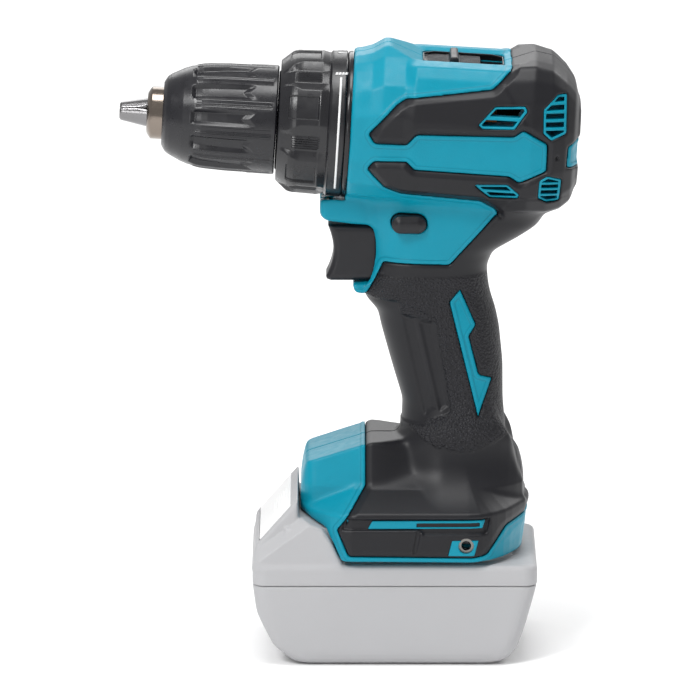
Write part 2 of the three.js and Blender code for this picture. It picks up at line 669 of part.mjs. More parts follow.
// A toothed outline: trapezoid teeth on a circle, thinner than the spaces.
function gearOutline(teeth, phase, inside = false) {
  const pitch = (teeth * GEAR_MODULE) / 2;
  const tip = pitch + (inside ? -0.8 : 0.8) * GEAR_MODULE;
  const root = pitch + (inside ? 1.2 : -1.2) * GEAR_MODULE;
  const step = (2 * Math.PI) / teeth;
  const points = [];
  for (let k = 0; k < teeth; k += 1) {
    const middle = k * step + phase;
    const corners = [[root, -0.31], [tip, -0.11], [tip, 0.11], [root, 0.31]];
    corners.forEach(([radius, share]) => {
      const angle = middle + share * step;
      points.push([radius * Math.cos(angle), radius * Math.sin(angle)]);
    });
  }
  return points;
}

const RING_TEETH = SUN_TEETH + 2 * PLANET_TEETH;
const ORBIT = ((SUN_TEETH + PLANET_TEETH) * GEAR_MODULE) / 2;
const RING_OUTER = MOTOR_RADIUS - GEAR_CASE_WALL - GAP;
const GEAR_REAR = GEAR_FRONT + GEAR_WIDTH;

function ringGear() {
  const shape = new THREE.Shape();
  shape.absarc(0, 0, RING_OUTER, 0, 2 * Math.PI);
  const teeth = gearOutline(RING_TEETH, 0, true).map(([x, y]) => new THREE.Vector2(x, y));
  shape.holes.push(new THREE.Path(teeth));
  const settings = { depth: GEAR_WIDTH + 1.4, bevelEnabled: false, curveSegments: 24 };
  const geometry = new THREE.ExtrudeGeometry(shape, settings).rotateY(Math.PI / 2);
  return solid(geometry.translate(GEAR_FRONT - 0.7, 0, 0));
}

// Planet k stands at an equal angle on the orbit. Its phase puts its teeth in
// the spaces of the sun and of the ring.
const planetAngle = (k) => (k / PLANET_COUNT) * 2 * Math.PI;

function planetGear(k) {
  const phase = ((1 + PLANET_TEETH % 2) * Math.PI) / PLANET_TEETH;
  const gear = prismX(outline(gearOutline(PLANET_TEETH, phase)), GEAR_FRONT, GEAR_REAR);
  const bore = rod(GEAR_FRONT - 1, GEAR_REAR + 1, PIN_RADIUS + RUNNING_GAP, 12);
  const turn = THREE.MathUtils.radToDeg(planetAngle(k)) * (1 + SUN_TEETH / PLANET_TEETH);
  const spot = [0, ORBIT * Math.cos(planetAngle(k)), ORBIT * Math.sin(planetAngle(k))];
  return cut(gear, bore).rotate([turn, 0, 0]).translate(spot);
}

// The spindle carries the planets on pins and the chuck on its front end.
function spindle() {
  const disc = GEAR_FRONT - 1;
  const shaft = rod(SPINDLE_FRONT, disc - CARRIER_THICKNESS / 2, SPINDLE_RADIUS);
  const plate = rod(disc - CARRIER_THICKNESS, disc, CARRIER_RADIUS);
  const pins = Array.from({ length: PLANET_COUNT }, (_, k) => {
    const spot = [0, ORBIT * Math.cos(planetAngle(k)), ORBIT * Math.sin(planetAngle(k))];
    return rod(disc - 1, GEAR_REAR + GAP, PIN_RADIUS, 12).translate(spot);
  });
  return unite(shaft, plate, ...pins);
}

function motorShaft() {
  const sun = prismX(outline(gearOutline(SUN_TEETH, 0)), GEAR_FRONT - 0.4, GEAR_REAR + 0.4);
  return unite(sun, rod(GEAR_REAR, SHAFT_END, SHAFT_RADIUS, 16));
}

// The gear case: a bored nose for the spindle and a round box for the gears.
function gearCase() {
  const step = -6;
  const inner = MOTOR_RADIUS - GEAR_CASE_WALL;
  const boxFront = GEAR_FRONT - 1 - CARRIER_THICKNESS - 1;
  const bearingRear = NOSE_FRONT + 3 + SPINDLE_BEARING_WIDTH;
  return turned([
    [NOSE_FRONT, SPINDLE_BEARING_RADIUS + RUNNING_GAP], [NOSE_FRONT, NOSE_RADIUS],
    [step, NOSE_RADIUS], [step, inner - 0.1], [0, inner - 0.1], [0, MOTOR_RADIUS],
    [GEAR_CASE_REAR, MOTOR_RADIUS], [GEAR_CASE_REAR, inner], [boxFront, inner],
    [boxFront, SPINDLE_RADIUS + 1.2], [bearingRear, SPINDLE_RADIUS + 1.2],
    [bearingRear, SPINDLE_BEARING_RADIUS + RUNNING_GAP],
  ], 20);
}

function frontRing() {
  return ring(COLLAR_REAR + 0.5, -GAP, MOTOR_RADIUS - GEAR_CASE_WALL + 0.2, COLLAR_RADIUS - 1.1, 30);
}

function bearing(front, width, inner, outer) {
  return turned([
    [front, inner], [front, inner + 1.2], [front + 0.6, inner + 1.5], [front + 0.6, outer - 1.5],
    [front, outer - 1.2], [front, outer], [front + width, outer], [front + width, inner],
  ], 14);
}

function spindleBearing() {
  const front = NOSE_FRONT + 3 - GAP;
  return bearing(front, SPINDLE_BEARING_WIDTH, SPINDLE_RADIUS + RUNNING_GAP, SPINDLE_BEARING_RADIUS);
}

// The plate that closes the gear case and holds the motor's front bearing.
const PLATE_FRONT = GEAR_CASE_REAR + GAP;
const PLATE_REAR = PLATE_FRONT + BEARING_WIDTH + 2;
function motorPlate() {
  const seat = PLATE_FRONT + 2;
  const hole = SHAFT_RADIUS + 1;
  return turned([
    [PLATE_FRONT, hole], [PLATE_FRONT, MOTOR_RADIUS], [PLATE_REAR, MOTOR_RADIUS],
    [PLATE_REAR, BEARING_RADIUS + RUNNING_GAP], [seat, BEARING_RADIUS + RUNNING_GAP], [seat, hole],
  ], 20);
}

function stator() {
  const shape = new THREE.Shape();
  shape.absarc(0, 0, MOTOR_RADIUS, 0, 2 * Math.PI);
  const inner = ROTOR_RADIUS + 0.6;
  const hole = [];
  const step = (2 * Math.PI) / STATOR_TEETH;
  for (let k = 0; k < STATOR_TEETH; k += 1) {
    const corners = [
      [inner, -0.4], [inner, 0], [inner, 0.4], [inner + 1.6, 0.4],
      [MOTOR_RADIUS - 3, 0.28], [MOTOR_RADIUS - 3, 0.5], [MOTOR_RADIUS - 3, 0.72], [inner + 1.6, 0.6],
    ];
    corners.forEach(([radius, share]) => {
      const angle = (k + share) * step;
      hole.push(new THREE.Vector2(radius * Math.cos(angle), radius * Math.sin(angle)));
    });
  }
  shape.holes.push(new THREE.Path(hole));
  return prismXWithHoles(shape, STATOR_FRONT, STATOR_FRONT + STATOR_LENGTH);
}

function prismXWithHoles(shape, x0, x1) {
  const settings = { depth: x1 - x0, bevelEnabled: false, curveSegments: 16 };
  const geometry = new THREE.ExtrudeGeometry(shape, settings).rotateY(Math.PI / 2);
  return solid(geometry.translate(x0, 0, 0));
}

function rotor() {
  return ring(STATOR_FRONT + 1, STATOR_FRONT + STATOR_LENGTH - 1, SHAFT_RADIUS + RUNNING_GAP,
    ROTOR_RADIUS, 24);
}

// A radial fan: a dished disc with straight blades on its front.
function coolingFan() {
  const rear = FAN_FRONT + FAN_LENGTH;
  const outer = MOTOR_RADIUS - 2;
  const disc = turned([
    [rear - 1.5, SHAFT_RADIUS + RUNNING_GAP], [FAN_FRONT, SHAFT_RADIUS + RUNNING_GAP],
    [FAN_FRONT, SHAFT_RADIUS + 3], [rear - 3, SHAFT_RADIUS + 5], [rear - 1.5, outer],
    [rear, outer], [rear, SHAFT_RADIUS + RUNNING_GAP],
  ], 20);
  const blades = Array.from({ length: FAN_BLADES }, (_, k) => {
    const blade = block(FAN_FRONT + 1.5, rear - 1, SHAFT_RADIUS + 4, outer - 0.4, -0.5, 0.5);
    return blade.rotate([(k * 360) / FAN_BLADES, 0, 0]);
  });
  return unite(disc, ...blades);
}

// ---------------------------------------------------------------- clutch

function torqueCollar() {
  const shell = turned([
    [COLLAR_FRONT, NOSE_RADIUS + GAP + 0.1], [COLLAR_FRONT, COLLAR_FACE_RADIUS],
    [COLLAR_FRONT + 4, COLLAR_FACE_RADIUS + 2.9], [COLLAR_FRONT + 12, COLLAR_RADIUS - 1.3],
    [COLLAR_REAR, COLLAR_RADIUS], [COLLAR_REAR, COLLAR_BORE], [COLLAR_FRONT + 3.8, COLLAR_BORE],
    [COLLAR_FRONT + 3.8, NOSE_RADIUS + GAP + 0.1],
  ], 24);
  const pads = Array.from({ length: COLLAR_PADS }, (_, k) => {
    const pad = outline([[-10, -4.5], [-8.5, -6], [3, -8], [3, 8], [-8.5, 6], [-10, 4.5]]);
    const pocket = prismZ(pad, COLLAR_RADIUS - 3, COLLAR_RADIUS + 5);
    return pocket.translate([-14, 0, 0]).rotate([(k * 360) / COLLAR_PADS + 15, 0, 0]);
  });
  return cut(shell, ...pads);
}

// A coil wound round the X axis, made as one swept solid.
function coilSpring(x0, x1, radius, wire, turns, steps, sides) {
  const half = wire / 2;
  const start = x0 + half;
  const pitch = (x1 - x0 - wire) / turns;
  class Helix extends THREE.Curve {
    getPoint(t) {
      const angle = t * turns * 2 * Math.PI;
      return new THREE.Vector3(start + t * turns * pitch, radius * Math.cos(angle), radius * Math.sin(angle));
    }
  }
  const section = Array.from({ length: sides }, (_, k) => {
    const angle = (k / sides) * 2 * Math.PI;
    return [half * Math.cos(angle), half * Math.sin(angle)];
  });
  const settings = { steps: steps * turns, bevelEnabled: false, extrudePath: new Helix() };
  return solid(new THREE.ExtrudeGeometry(outline(section), settings));
}

const CLUTCH_NUT_FRONT = COLLAR_FRONT + 3.8 + GAP;
const CLUTCH_NUT_WIDTH = 2;
function clutchNut() {
  return ring(CLUTCH_NUT_FRONT, CLUTCH_NUT_FRONT + CLUTCH_NUT_WIDTH, NOSE_RADIUS + GAP, COLLAR_BORE - GAP);
}

function clutchSpring() {
  const front = CLUTCH_NUT_FRONT + CLUTCH_NUT_WIDTH + GAP;
  return coilSpring(front, -6 - GAP, NOSE_RADIUS + 3.2, 2.2, 3, 12, 5);
}

// ----------------------------------------------------------------- chuck

function inJawBore(k, body) {
  const lean = radians(JAW_LEAN);
  const turnedUp = body.translate([-JAW_TIP, 0, 0]).rotate([0, -JAW_LEAN, 0]);
  return turnedUp.translate([JAW_TIP, 0, JAW_OFFSET * Math.cos(lean)]).rotate([(k * 360) / JAW_COUNT, 0, 0]);
}

const JAW_TRAVEL = 22;

function chuckBody() {
  const profile = turned([
    [CHUCK_NOSE, 4.5], [CHUCK_NOSE, CHUCK_NOSE_RADIUS - 1], [CHUCK_NOSE + 1.2, CHUCK_NOSE_RADIUS],
    [SLEEVE_FRONT + 0.6, CHUCK_NOSE_RADIUS + 1], [JAW_NUT_FRONT + 8, CHUCK_BODY_RADIUS - 1],
    [JAW_NUT_FRONT + 8, CHUCK_BODY_RADIUS], [CHUCK_REAR, CHUCK_BODY_RADIUS],
    [CHUCK_REAR, SPINDLE_RADIUS + RUNNING_GAP], [SPINDLE_FRONT - GAP, SPINDLE_RADIUS + RUNNING_GAP],
    [SPINDLE_FRONT - GAP, 0], [SPINDLE_FRONT - 4, 0], [SPINDLE_FRONT - 4, 4.5],
  ], 24);
  const bores = Array.from({ length: JAW_COUNT }, (_, k) => {
    const length = (JAW_REAR - JAW_TIP + JAW_TRAVEL + 0.6) / Math.cos(radians(JAW_LEAN));
    return inJawBore(k, rod(JAW_TIP - 6, JAW_TIP + length, JAW_RADIUS + RUNNING_GAP, 12));
  });
  return cut(profile, ...bores);
}

// A round jaw in its leaning bore, with two flats that meet its neighbours.
function chuckJaw(k) {
  const length = (JAW_REAR - JAW_TIP) / Math.cos(radians(JAW_LEAN));
  const round = inJawBore(0, rod(JAW_TIP - 1, JAW_TIP + length, JAW_RADIUS, 16));
  const flat = 0.16;
  const reach = 30;
  const spread = Math.tan(radians(180 / JAW_COUNT)) * reach;
  const corner = outline([[0, 2 * flat], [spread, reach], [-spread, reach]]);
  const wedge = prismX(corner, JAW_TIP, JAW_REAR + 4);
  const taper = turned([
    [JAW_TIP, 0], [JAW_TIP, 3.6], [JAW_TIP + 0.6, 4.1], [CHUCK_NOSE, 6.1], [JAW_REAR + 4, 14],
    [JAW_REAR + 4, 0],
  ], 24);
  return round.intersect(wedge).intersect(taper).rotate([(k * 360) / JAW_COUNT, 0, 0]);
}

const JAW_NUT_OUTER = 14;
function jawNut() {
  return ring(JAW_NUT_FRONT, JAW_NUT_FRONT + JAW_NUT_WIDTH, CHUCK_BODY_RADIUS - 0.6, JAW_NUT_OUTER);
}

// The gripping sleeve: a bell with lengthwise grooves all round.
function chuckSleeve() {
  const nutRear = JAW_NUT_FRONT + JAW_NUT_WIDTH + GAP;
  const shell = turned([
    [SLEEVE_FRONT, CHUCK_NOSE_RADIUS + 1.6], [SLEEVE_FRONT, 14.2], [SLEEVE_FRONT + 2.5, 15.9],
    [SLEEVE_FRONT + 5, 17.3], [SLEEVE_FRONT + 12, SLEEVE_RADIUS - 1.7],
    [SLEEVE_FRONT + 20, SLEEVE_RADIUS - 0.4],
    [CHUCK_REAR, SLEEVE_RADIUS + 0.4],
    [CHUCK_REAR, CHUCK_BODY_RADIUS + GAP], [CHUCK_REAR - 2, CHUCK_BODY_RADIUS + GAP],
    [CHUCK_REAR - 2, SLEEVE_INNER], [nutRear, SLEEVE_INNER], [nutRear, JAW_NUT_OUTER + GAP],
    [JAW_NUT_FRONT - GAP, JAW_NUT_OUTER + GAP], [JAW_NUT_FRONT - GAP, CHUCK_NOSE_RADIUS + 1.6],
  ], 24);
  const grooves = Array.from({ length: SLEEVE_GROOVES }, (_, k) => {
    const front = SLEEVE_FRONT + 12;
    const rear = k % 2 ? CHUCK_REAR + 1 : front + 23;
    const groove = outline([[front, -1.9], [rear - 3, -1.9], [rear, 0], [rear - 3, 1.9], [front, 1.9]]);
    const depth = SLEEVE_RADIUS - 1.2;
    return prismZ(groove, depth, depth + 6).rotate([(k * 360) / SLEEVE_GROOVES, 0, 0]);
  });
  return cut(shell, ...grooves);
}

// -------------------------------------------------------------- controls

function trigger() {
  const shape = new THREE.Shape();
  shape.moveTo(-9, TRIGGER_TOP);
  shape.bezierCurveTo(-6.2, TRIGGER_TOP - 7, -5.8, TRIGGER_TOP - 13, -9.2, TRIGGER_BOTTOM + 2.4);
  shape.quadraticCurveTo(-9.2, TRIGGER_BOTTOM, -6.6, TRIGGER_BOTTOM);
  shape.lineTo(TRIGGER_REAR, TRIGGER_BOTTOM);
  shape.lineTo(TRIGGER_REAR, TRIGGER_TOP - 1.6); // clears the lever when pulled
  shape.lineTo(TRIGGER_REAR - 3.2, TRIGGER_TOP);
  const points = shape.getPoints(6).map(({ x, y }) => [x, y]);
  const paddle = pillowY(points, TRIGGER_HALF, 1.8);
  const springSeat = rod(TRIGGER_REAR - 4, TRIGGER_REAR + 1, 3.4, 16);
  return cut(paddle, springSeat.translate([0, 0, SPRING_Z]));
}

const SWITCH_FRONT = TRIGGER_REAR + TRIGGER_TRAVEL + 2.2;

function triggerSpring() {
  const coil = coilSpring(TRIGGER_REAR - 4 + GAP, SWITCH_FRONT - GAP, 2.2, 0.9, 4, 7, 4);
  return coil.translate([0, 0, SPRING_Z]);
}

function switchModule() {
  const body = block(SWITCH_FRONT, SWITCH_REAR, -SWITCH_HALF, SWITCH_HALF, SWITCH_BOTTOM, SWITCH_TOP);
  const edge = block(SWITCH_REAR - 6, SWITCH_REAR + 1, -20, 20, SWITCH_TOP - 5, SWITCH_TOP + 1);
  return cut(body, edge);
}

function reverseLever() {
  const shape = stadium(LEVER_LENGTH, LEVER_HEIGHT);
  return softPrismY(shape, LEVER_HALF, 0.8, 1).translate([LEVER_X, 0, LEVER_Z]);
}

function speedSelector() {
  const z = TRACK_FLOOR + GAP;
  const rear = SELECTOR_FRONT + SELECTOR_LENGTH;
  const half = SLOT_HALF + 1.2;
  const plate = block(SELECTOR_FRONT, rear, -half, half, z, z + SELECTOR_THICKNESS);
  const ribHalf = SLOT_HALF - 1.5;
  const rib = roundedOutline([
    [SELECTOR_RIB_X - 2.2, z], [SELECTOR_RIB_X + 2.4, z], [SELECTOR_RIB_X + 1.8, HEAD_TOP + 0.6],
    [SELECTOR_RIB_X - 1.6, HEAD_TOP + 0.6],
  ], 0.5);
  const ridges = [-8, -4, 4, 8].map((y) =>
    block(SELECTOR_FRONT + 5, rear - 0.6, y - 0.7, y + 0.7, z, z + SELECTOR_THICKNESS + 0.5));
  return unite(plate, prismY(rib, -ribHalf, ribHalf), ...ridges);
}

// ----------------------------------------------------------- electronics

function lampLens() {
  return block(LAMP_X, LAMP_X + 2, -LAMP_HALF, LAMP_HALF, LAMP_LOW, LAMP_HIGH);
}

function lampBoard() {
  const x = LAMP_X + 2 + GAP;
  const plate = block(x, x + 1.2, -LAMP_HALF, LAMP_HALF, LAMP_LOW, LAMP_HIGH);
  return unite(plate, block(x, x + 2.2, -1.5, 1.5, LAMP_LOW + 1, LAMP_HIGH - 1));
}

const BOARD_THICKNESS = 1.6;
function controlBoard() {
  const low = BOARD_FLOOR + GAP;
  const high = low + BOARD_THICKNESS;
  const plate = block(-8, 53, -22, 22, low, high);
  const switches = [-15, -9, -3, 3, 9, 15].map((y) => block(6, 18, y - 2, y + 2, high - 0.2, high + 4));
  const filter = rod(44, 52, 4, 14).translate([0, 12, high + 3.8]);
  return unite(plate, filter, ...switches);
}

const BLADE_LOW = RAIL_TOP + 2.8;
function terminalBlock() {
  const top = BAY_TOP - GAP;
  const base = block(12, 34, -TERMINAL_HALF, TERMINAL_HALF, top - 4, top);
  const blades = [-1, 1].map((side) => {
    const [y0, y1] = [side * 11.3, side * 12.3].sort((a, b) => a - b);
    return block(14, 32, y0, y1, BLADE_LOW, top - 3);
  });
  const neck = block(17, 29, -7, 7, top - 1, BOARD_FLOOR - 0.1);
  return unite(base, neck, ...blades);
}

// A lead with a round section swept along a smooth route.
function lead(route, radius) {
  const curve = new THREE.CatmullRomCurve3(route.map((point) => new THREE.Vector3(...point)));
  const section = new THREE.Shape();
  section.absarc(0, 0, radius, 0, 2 * Math.PI);
  const settings = { steps: 9, bevelEnabled: false, extrudePath: curve, curveSegments: 3 };
  return solid(new THREE.ExtrudeGeometry(section, settings));
}

const LEAD_RADIUS = 1.4;
function powerLead(y) {
  const start = BOARD_FLOOR + GAP + BOARD_THICKNESS + GAP;
  const route = [[34, y, start], [35, y, 82], [41, y, 100], [37, y, 128], [32, y, SWITCH_BOTTOM - GAP]];
  return lead(route, LEAD_RADIUS);
}

// A motor lead stands in the switch's notch and rises along the stator's rear.
function motorLead(y) {
  const stator = STATOR_FRONT + STATOR_LENGTH + LEAD_RADIUS + GAP;
  const tilt = new THREE.Vector3(0, 1, 0);
  const end = new THREE.Vector3(stator, y, -15).applyAxisAngle(tilt, radians(HEAD_TILT));
  const foot = SWITCH_TOP - 5 + GAP;
  const x = SWITCH_REAR - 3;
  const below = HEAD_Z - MOTOR_RADIUS - 3.5;
  return lead([[x, y, foot], [x + 1.5, y, foot + 6], [end.x - 8.3, y, below - 7],
    [end.x - 0.2, y, below], [end.x, y, end.z + HEAD_Z]], LEAD_RADIUS);
}

// --------------------------------------------------------------- battery

const BATTERY_FRONT = BATTERY_X - BATTERY_LENGTH / 2;
const BATTERY_REAR = BATTERY_X + BATTERY_LENGTH / 2;

function caseOutline() {
  return [
    [BATTERY_FRONT, BATTERY_SEAM], [BATTERY_FRONT + 1.6, BATTERY_SEAM - 12],
    [BATTERY_FRONT + 8.5, 7], [BATTERY_FRONT + 17, 0.8], [BATTERY_FRONT + 22, 0],
    [BATTERY_REAR - 19, 0], [BATTERY_REAR - 13, 1.2], [BATTERY_REAR - 8.4, 5.5],
    [BATTERY_REAR - 4.8, 15.5], [BATTERY_REAR, BATTERY_SEAM],
  ];
}

function batteryLowerCase() {
  const outer = softPrismY(outline(caseOutline()), BATTERY_WIDTH / 2, 3.5);
  const inner = inset(caseOutline(), BATTERY_WALL).map(([x, z]) => [x, z > BATTERY_SEAM - 4 ? 60 : z]);
  const half = CELL_LENGTH / 2 + CELL_END_ROOM - 1;
  const flatTop = block(-100, 150, -60, 60, BATTERY_SEAM - 3.5, 80);
  const collar = block(BATTERY_FRONT, BATTERY_REAR, -BATTERY_WIDTH / 2, BATTERY_WIDTH / 2,
    BATTERY_SEAM - 3.6, BATTERY_SEAM);
  const tub = cut(outer, flatTop);
  const rim = collar.intersect(plumb(caseCorners(), BATTERY_SEAM - 4, BATTERY_SEAM));
  return cut(unite(tub, rim), prismY(outline(inner), -half, half));
}

// The pack's plan with rounded corners, as a straight solid.
const caseCorners = () => {
  const half = BATTERY_WIDTH / 2;
  return [[BATTERY_FRONT, -half], [BATTERY_REAR, -half], [BATTERY_REAR, half], [BATTERY_FRONT, half]];
};
const plumb = (corners, z0, z1) => prismZ(roundedOutline(corners, 6), z0, z1);

const SLOPE_FOOT = [BATTERY_FRONT + 1.4, BATTERY_TOP + 7];
const SLOPE_HEAD = [FOOT_NOSE - 1.1, BAY_TOP + 6.6];

// The release button slides along the sloped front face.
function slopeFrame() {
  const down = new THREE.Vector2(SLOPE_FOOT[0] - SLOPE_HEAD[0], SLOPE_FOOT[1] - SLOPE_HEAD[1]);
  return { down, angle: THREE.MathUtils.radToDeg(Math.atan2(-down.y, -down.x)) };
}

// A block laid on the slope: distance down from the slope's top, and depth.
function onSlope(from, to, half, depth, height) {
  const { angle } = slopeFrame();
  const piece = block(-to, -from, -half, half, -depth, height);
  return piece.rotate([0, -angle, 0]).translate([SLOPE_HEAD[0], 0, SLOPE_HEAD[1]]);
}

const BUTTON_START = 5;
function batteryTopCase() {
  const base = plumb(caseCorners(), BATTERY_SEAM + GAP, BATTERY_TOP);
  const slide = block(-30, BATTERY_REAR, -RAIL_HALF + BAY_CLEARANCE, RAIL_HALF - BAY_CLEARANCE,
    BATTERY_TOP - 1, RAIL_TOP - 3);
  const rise = block(-30, 52, -RAIL_HALF + BAY_CLEARANCE, RAIL_HALF - BAY_CLEARANCE,
    RAIL_TOP - 4, RAIL_TOP + 1);
  const headPlan = inset(bayPlan(BAY_HALF), BAY_CLEARANCE);
  const head = cut(prismZ(outline(headPlan), RAIL_TOP + BAY_CLEARANCE, BAY_TOP - BAY_CLEARANCE),
    block(-BEYOND, SLOPE_HEAD[0] - 6.4, -BEYOND, BEYOND, 0, BEYOND));
  const nose = softPrismY(outline([
    [BATTERY_FRONT, BATTERY_TOP - 4], SLOPE_FOOT, SLOPE_HEAD, [SLOPE_HEAD[0], BAY_TOP - 2],
    [SLOPE_HEAD[0] + 11.6, BAY_TOP - 8], [SLOPE_HEAD[0] + 11.6, BATTERY_TOP - 4],
  ]), RAIL_HALF - BAY_CLEARANCE, 1.5, 1);
  const cellHalf = CELL_LENGTH / 2 + 1.5;
  const cellRoom = block(BATTERY_FRONT + 3, BATTERY_REAR - 3, -cellHalf, cellHalf, 0, BATTERY_TOP - 1.3);
  const boardRoom = block(-12, 60, -26, 26, 0, RAIL_TOP - 2);
  const channel = block(10, 80, -TERMINAL_HALF - 1.5, TERMINAL_HALF + 1.5, RAIL_TOP + 2, BAY_TOP + 9);
  const slots = [-1, 1].map((side) => {
    const [y0, y1] = [side * 7.6, side * 10.4].sort((a, b) => a - b);
    return block(14, 30, y0, y1, RAIL_TOP - 5, BAY_TOP - 1);
  });
  const recess = onSlope(BUTTON_START - GAP, BUTTON_START + BUTTON_LENGTH + BUTTON_TRAVEL + 1.2,
    BUTTON_HALF + GAP, 4, 10);
  return cut(unite(base, slide, rise, head, nose), cellRoom, boardRoom, channel, ...slots, recess);
}

function cell(column, row) {
  const x = BATTERY_X + (column - (CELL_COLUMNS - 1) / 2) * CELL_PITCH;
  const can = rod(-CELL_LENGTH / 2, CELL_LENGTH / 2, CELL_RADIUS, 14);
  return can.rotate([0, 0, 90]).translate([x, 0, CELL_FLOOR + row * CELL_PITCH]);
}

function batteryBoard() {
  const low = BATTERY_TOP + 0.9;
  const plate = block(-10, 58, -25, 25, low, low + BOARD_THICKNESS);
  const posts = [-1, 1].map((side) => {
    const [y0, y1] = [side * 8, side * 10].sort((a, b) => a - b);
    return block(15, 29, y0, y1, low + 0.6, BAY_TOP - 5);
  });
  return unite(plate, ...posts);
}

function releaseButton() {
  const body = onSlope(BUTTON_START, BUTTON_START + BUTTON_LENGTH, BUTTON_HALF, 4 - GAP, 0.8);
  const ridges = [0, 1, 2, 3].map((k) => {
    const from = BUTTON_START + 3 + k * 2.2;
    return onSlope(from, from + 1, BUTTON_HALF - 4, 1, 1.4);
  });
  return unite(body, ...ridges);
}

function buttonSpring() {
  const from = BUTTON_START + BUTTON_LENGTH + GAP;
  const to = BUTTON_START + BUTTON_LENGTH + BUTTON_TRAVEL + 1.2 - GAP;
  const { angle } = slopeFrame();
  const coil = coilSpring(-to, -from, 1.1, 0.5, 4, 6, 4).translate([0, 0, -2]);
  return coil.rotate([0, -angle, 0]).translate([SLOPE_HEAD[0], 0, SLOPE_HEAD[1]]);
}

function insertNut(side) {
  const nut = ring(-FOOT_HALF + 1.6, -FOOT_HALF + 1.6 + INSERT_LENGTH, 2, INSERT_RADIUS, 16);
  const left = nut.rotate([0, 0, 90]).translate([INSERT_X, 0, INSERT_Z]);
  return side < 0 ? left : left.mirror([0, 1, 0]);
}

// -------------------------------------------------------------- assembly

const group = new THREE.Group();
const headGroup = new THREE.Group();
headGroup.position.z = HEAD_Z;
headGroup.rotation.y = radians(HEAD_TILT);
group.add(headGroup);

function place(parent, name, body, finish) {
  const mesh = new THREE.Mesh(geometryOf(body), finish);
  mesh.name = name;
  parent.add(mesh);
}

const shell = shellHalves();
place(group, 'left_housing', shell.left_housing, TEAL);
place(group, 'right_housing', shell.right_housing, TEAL);
place(group, 'left_grip_cover', shell.left_grip_cover, SOFT_BLACK);
place(group, 'right_grip_cover', shell.right_grip_cover, SOFT_BLACK);

place(headGroup, 'gear_case', gearCase(), ALUMINIUM);
place(headGroup, 'front_ring', frontRing(), HARD_BLACK);
place(headGroup, 'spindle_bearing', spindleBearing(), STEEL);
place(headGroup, 'ring_gear', ringGear(), DARK_STEEL);
place(headGroup, 'motor_plate', motorPlate(), ALUMINIUM);
place(headGroup, 'front_motor_bearing',
  bearing(PLATE_FRONT + 2 + GAP, BEARING_WIDTH - GAP, SHAFT_RADIUS + RUNNING_GAP, BEARING_RADIUS), STEEL);
place(headGroup, 'rear_motor_bearing',
  bearing(REAR_BEARING_FRONT, BEARING_WIDTH, SHAFT_RADIUS + RUNNING_GAP, BEARING_RADIUS), STEEL);
place(headGroup, 'motor_stator', stator(), COPPER);
place(headGroup, 'motor_rotor', rotor(), DARK_STEEL);
place(headGroup, 'motor_shaft', motorShaft(), STEEL);
place(headGroup, 'cooling_fan', coolingFan(), HARD_BLACK);
place(headGroup, 'spindle', spindle(), STEEL);
for (let k = 0; k < PLANET_COUNT; k += 1) {
  place(headGroup, `planet_gear_${k + 1}`, planetGear(k), STEEL);
}

place(headGroup, 'torque_collar', torqueCollar(), HARD_BLACK);
place(headGroup, 'clutch_nut', clutchNut(), DARK_STEEL);
place(headGroup, 'clutch_spring', clutchSpring(), STEEL);

place(headGroup, 'chuck_body', chuckBody(), STEEL);
place(headGroup, 'chuck_sleeve', chuckSleeve(), HARD_BLACK);
place(headGroup, 'jaw_nut', jawNut(), DARK_STEEL);
for (let k = 0; k < JAW_COUNT; k += 1) {
  place(headGroup, `chuck_jaw_${k + 1}`, chuckJaw(k), STEEL);
}

place(group, 'trigger', trigger(), SOFT_BLACK);
place(group, 'trigger_spring', triggerSpring(), STEEL);
place(group, 'switch_module', switchModule(), HARD_BLACK);
place(group, 'reverse_lever', reverseLever(), HARD_BLACK);
place(headGroup, 'speed_selector', speedSelector(), HARD_BLACK);

place(group, 'lamp_lens', lampLens(), CLEAR);
place(group, 'lamp_board', lampBoard(), CIRCUIT);
place(group, 'control_board', controlBoard(), CIRCUIT);
place(group, 'terminal_block', terminalBlock(), HARD_BLACK);
place(group, 'positive_lead', powerLead(-4), RED);
place(group, 'negative_lead', powerLead(4), SOFT_BLACK);
[-5, 0, 5].forEach((y, k) => place(group, `motor_lead_${k + 1}`, motorLead(y), HARD_BLACK));
place(group, 'left_insert_nut', insertNut(-1), BRASS);
place(group, 'right_insert_nut', insertNut(1), BRASS);

place(group, 'battery_lower_case', batteryLowerCase(), PALE);
place(group, 'battery_top_case', batteryTopCase(), PALE);
for (let row = 0; row < 2; row += 1) {
  for (let column = 0; column < CELL_COLUMNS; column += 1) {
    place(group, `cell_${row * CELL_COLUMNS + column + 1}`, cell(column, row), CELL_GREEN);
  }
}
place(group, 'battery_board', batteryBoard(), CIRCUIT);
place(group, 'release_button', releaseButton(), WHITE);
place(group, 'button_spring', buttonSpring(), STEEL);

export default group;
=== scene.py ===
import json
import math

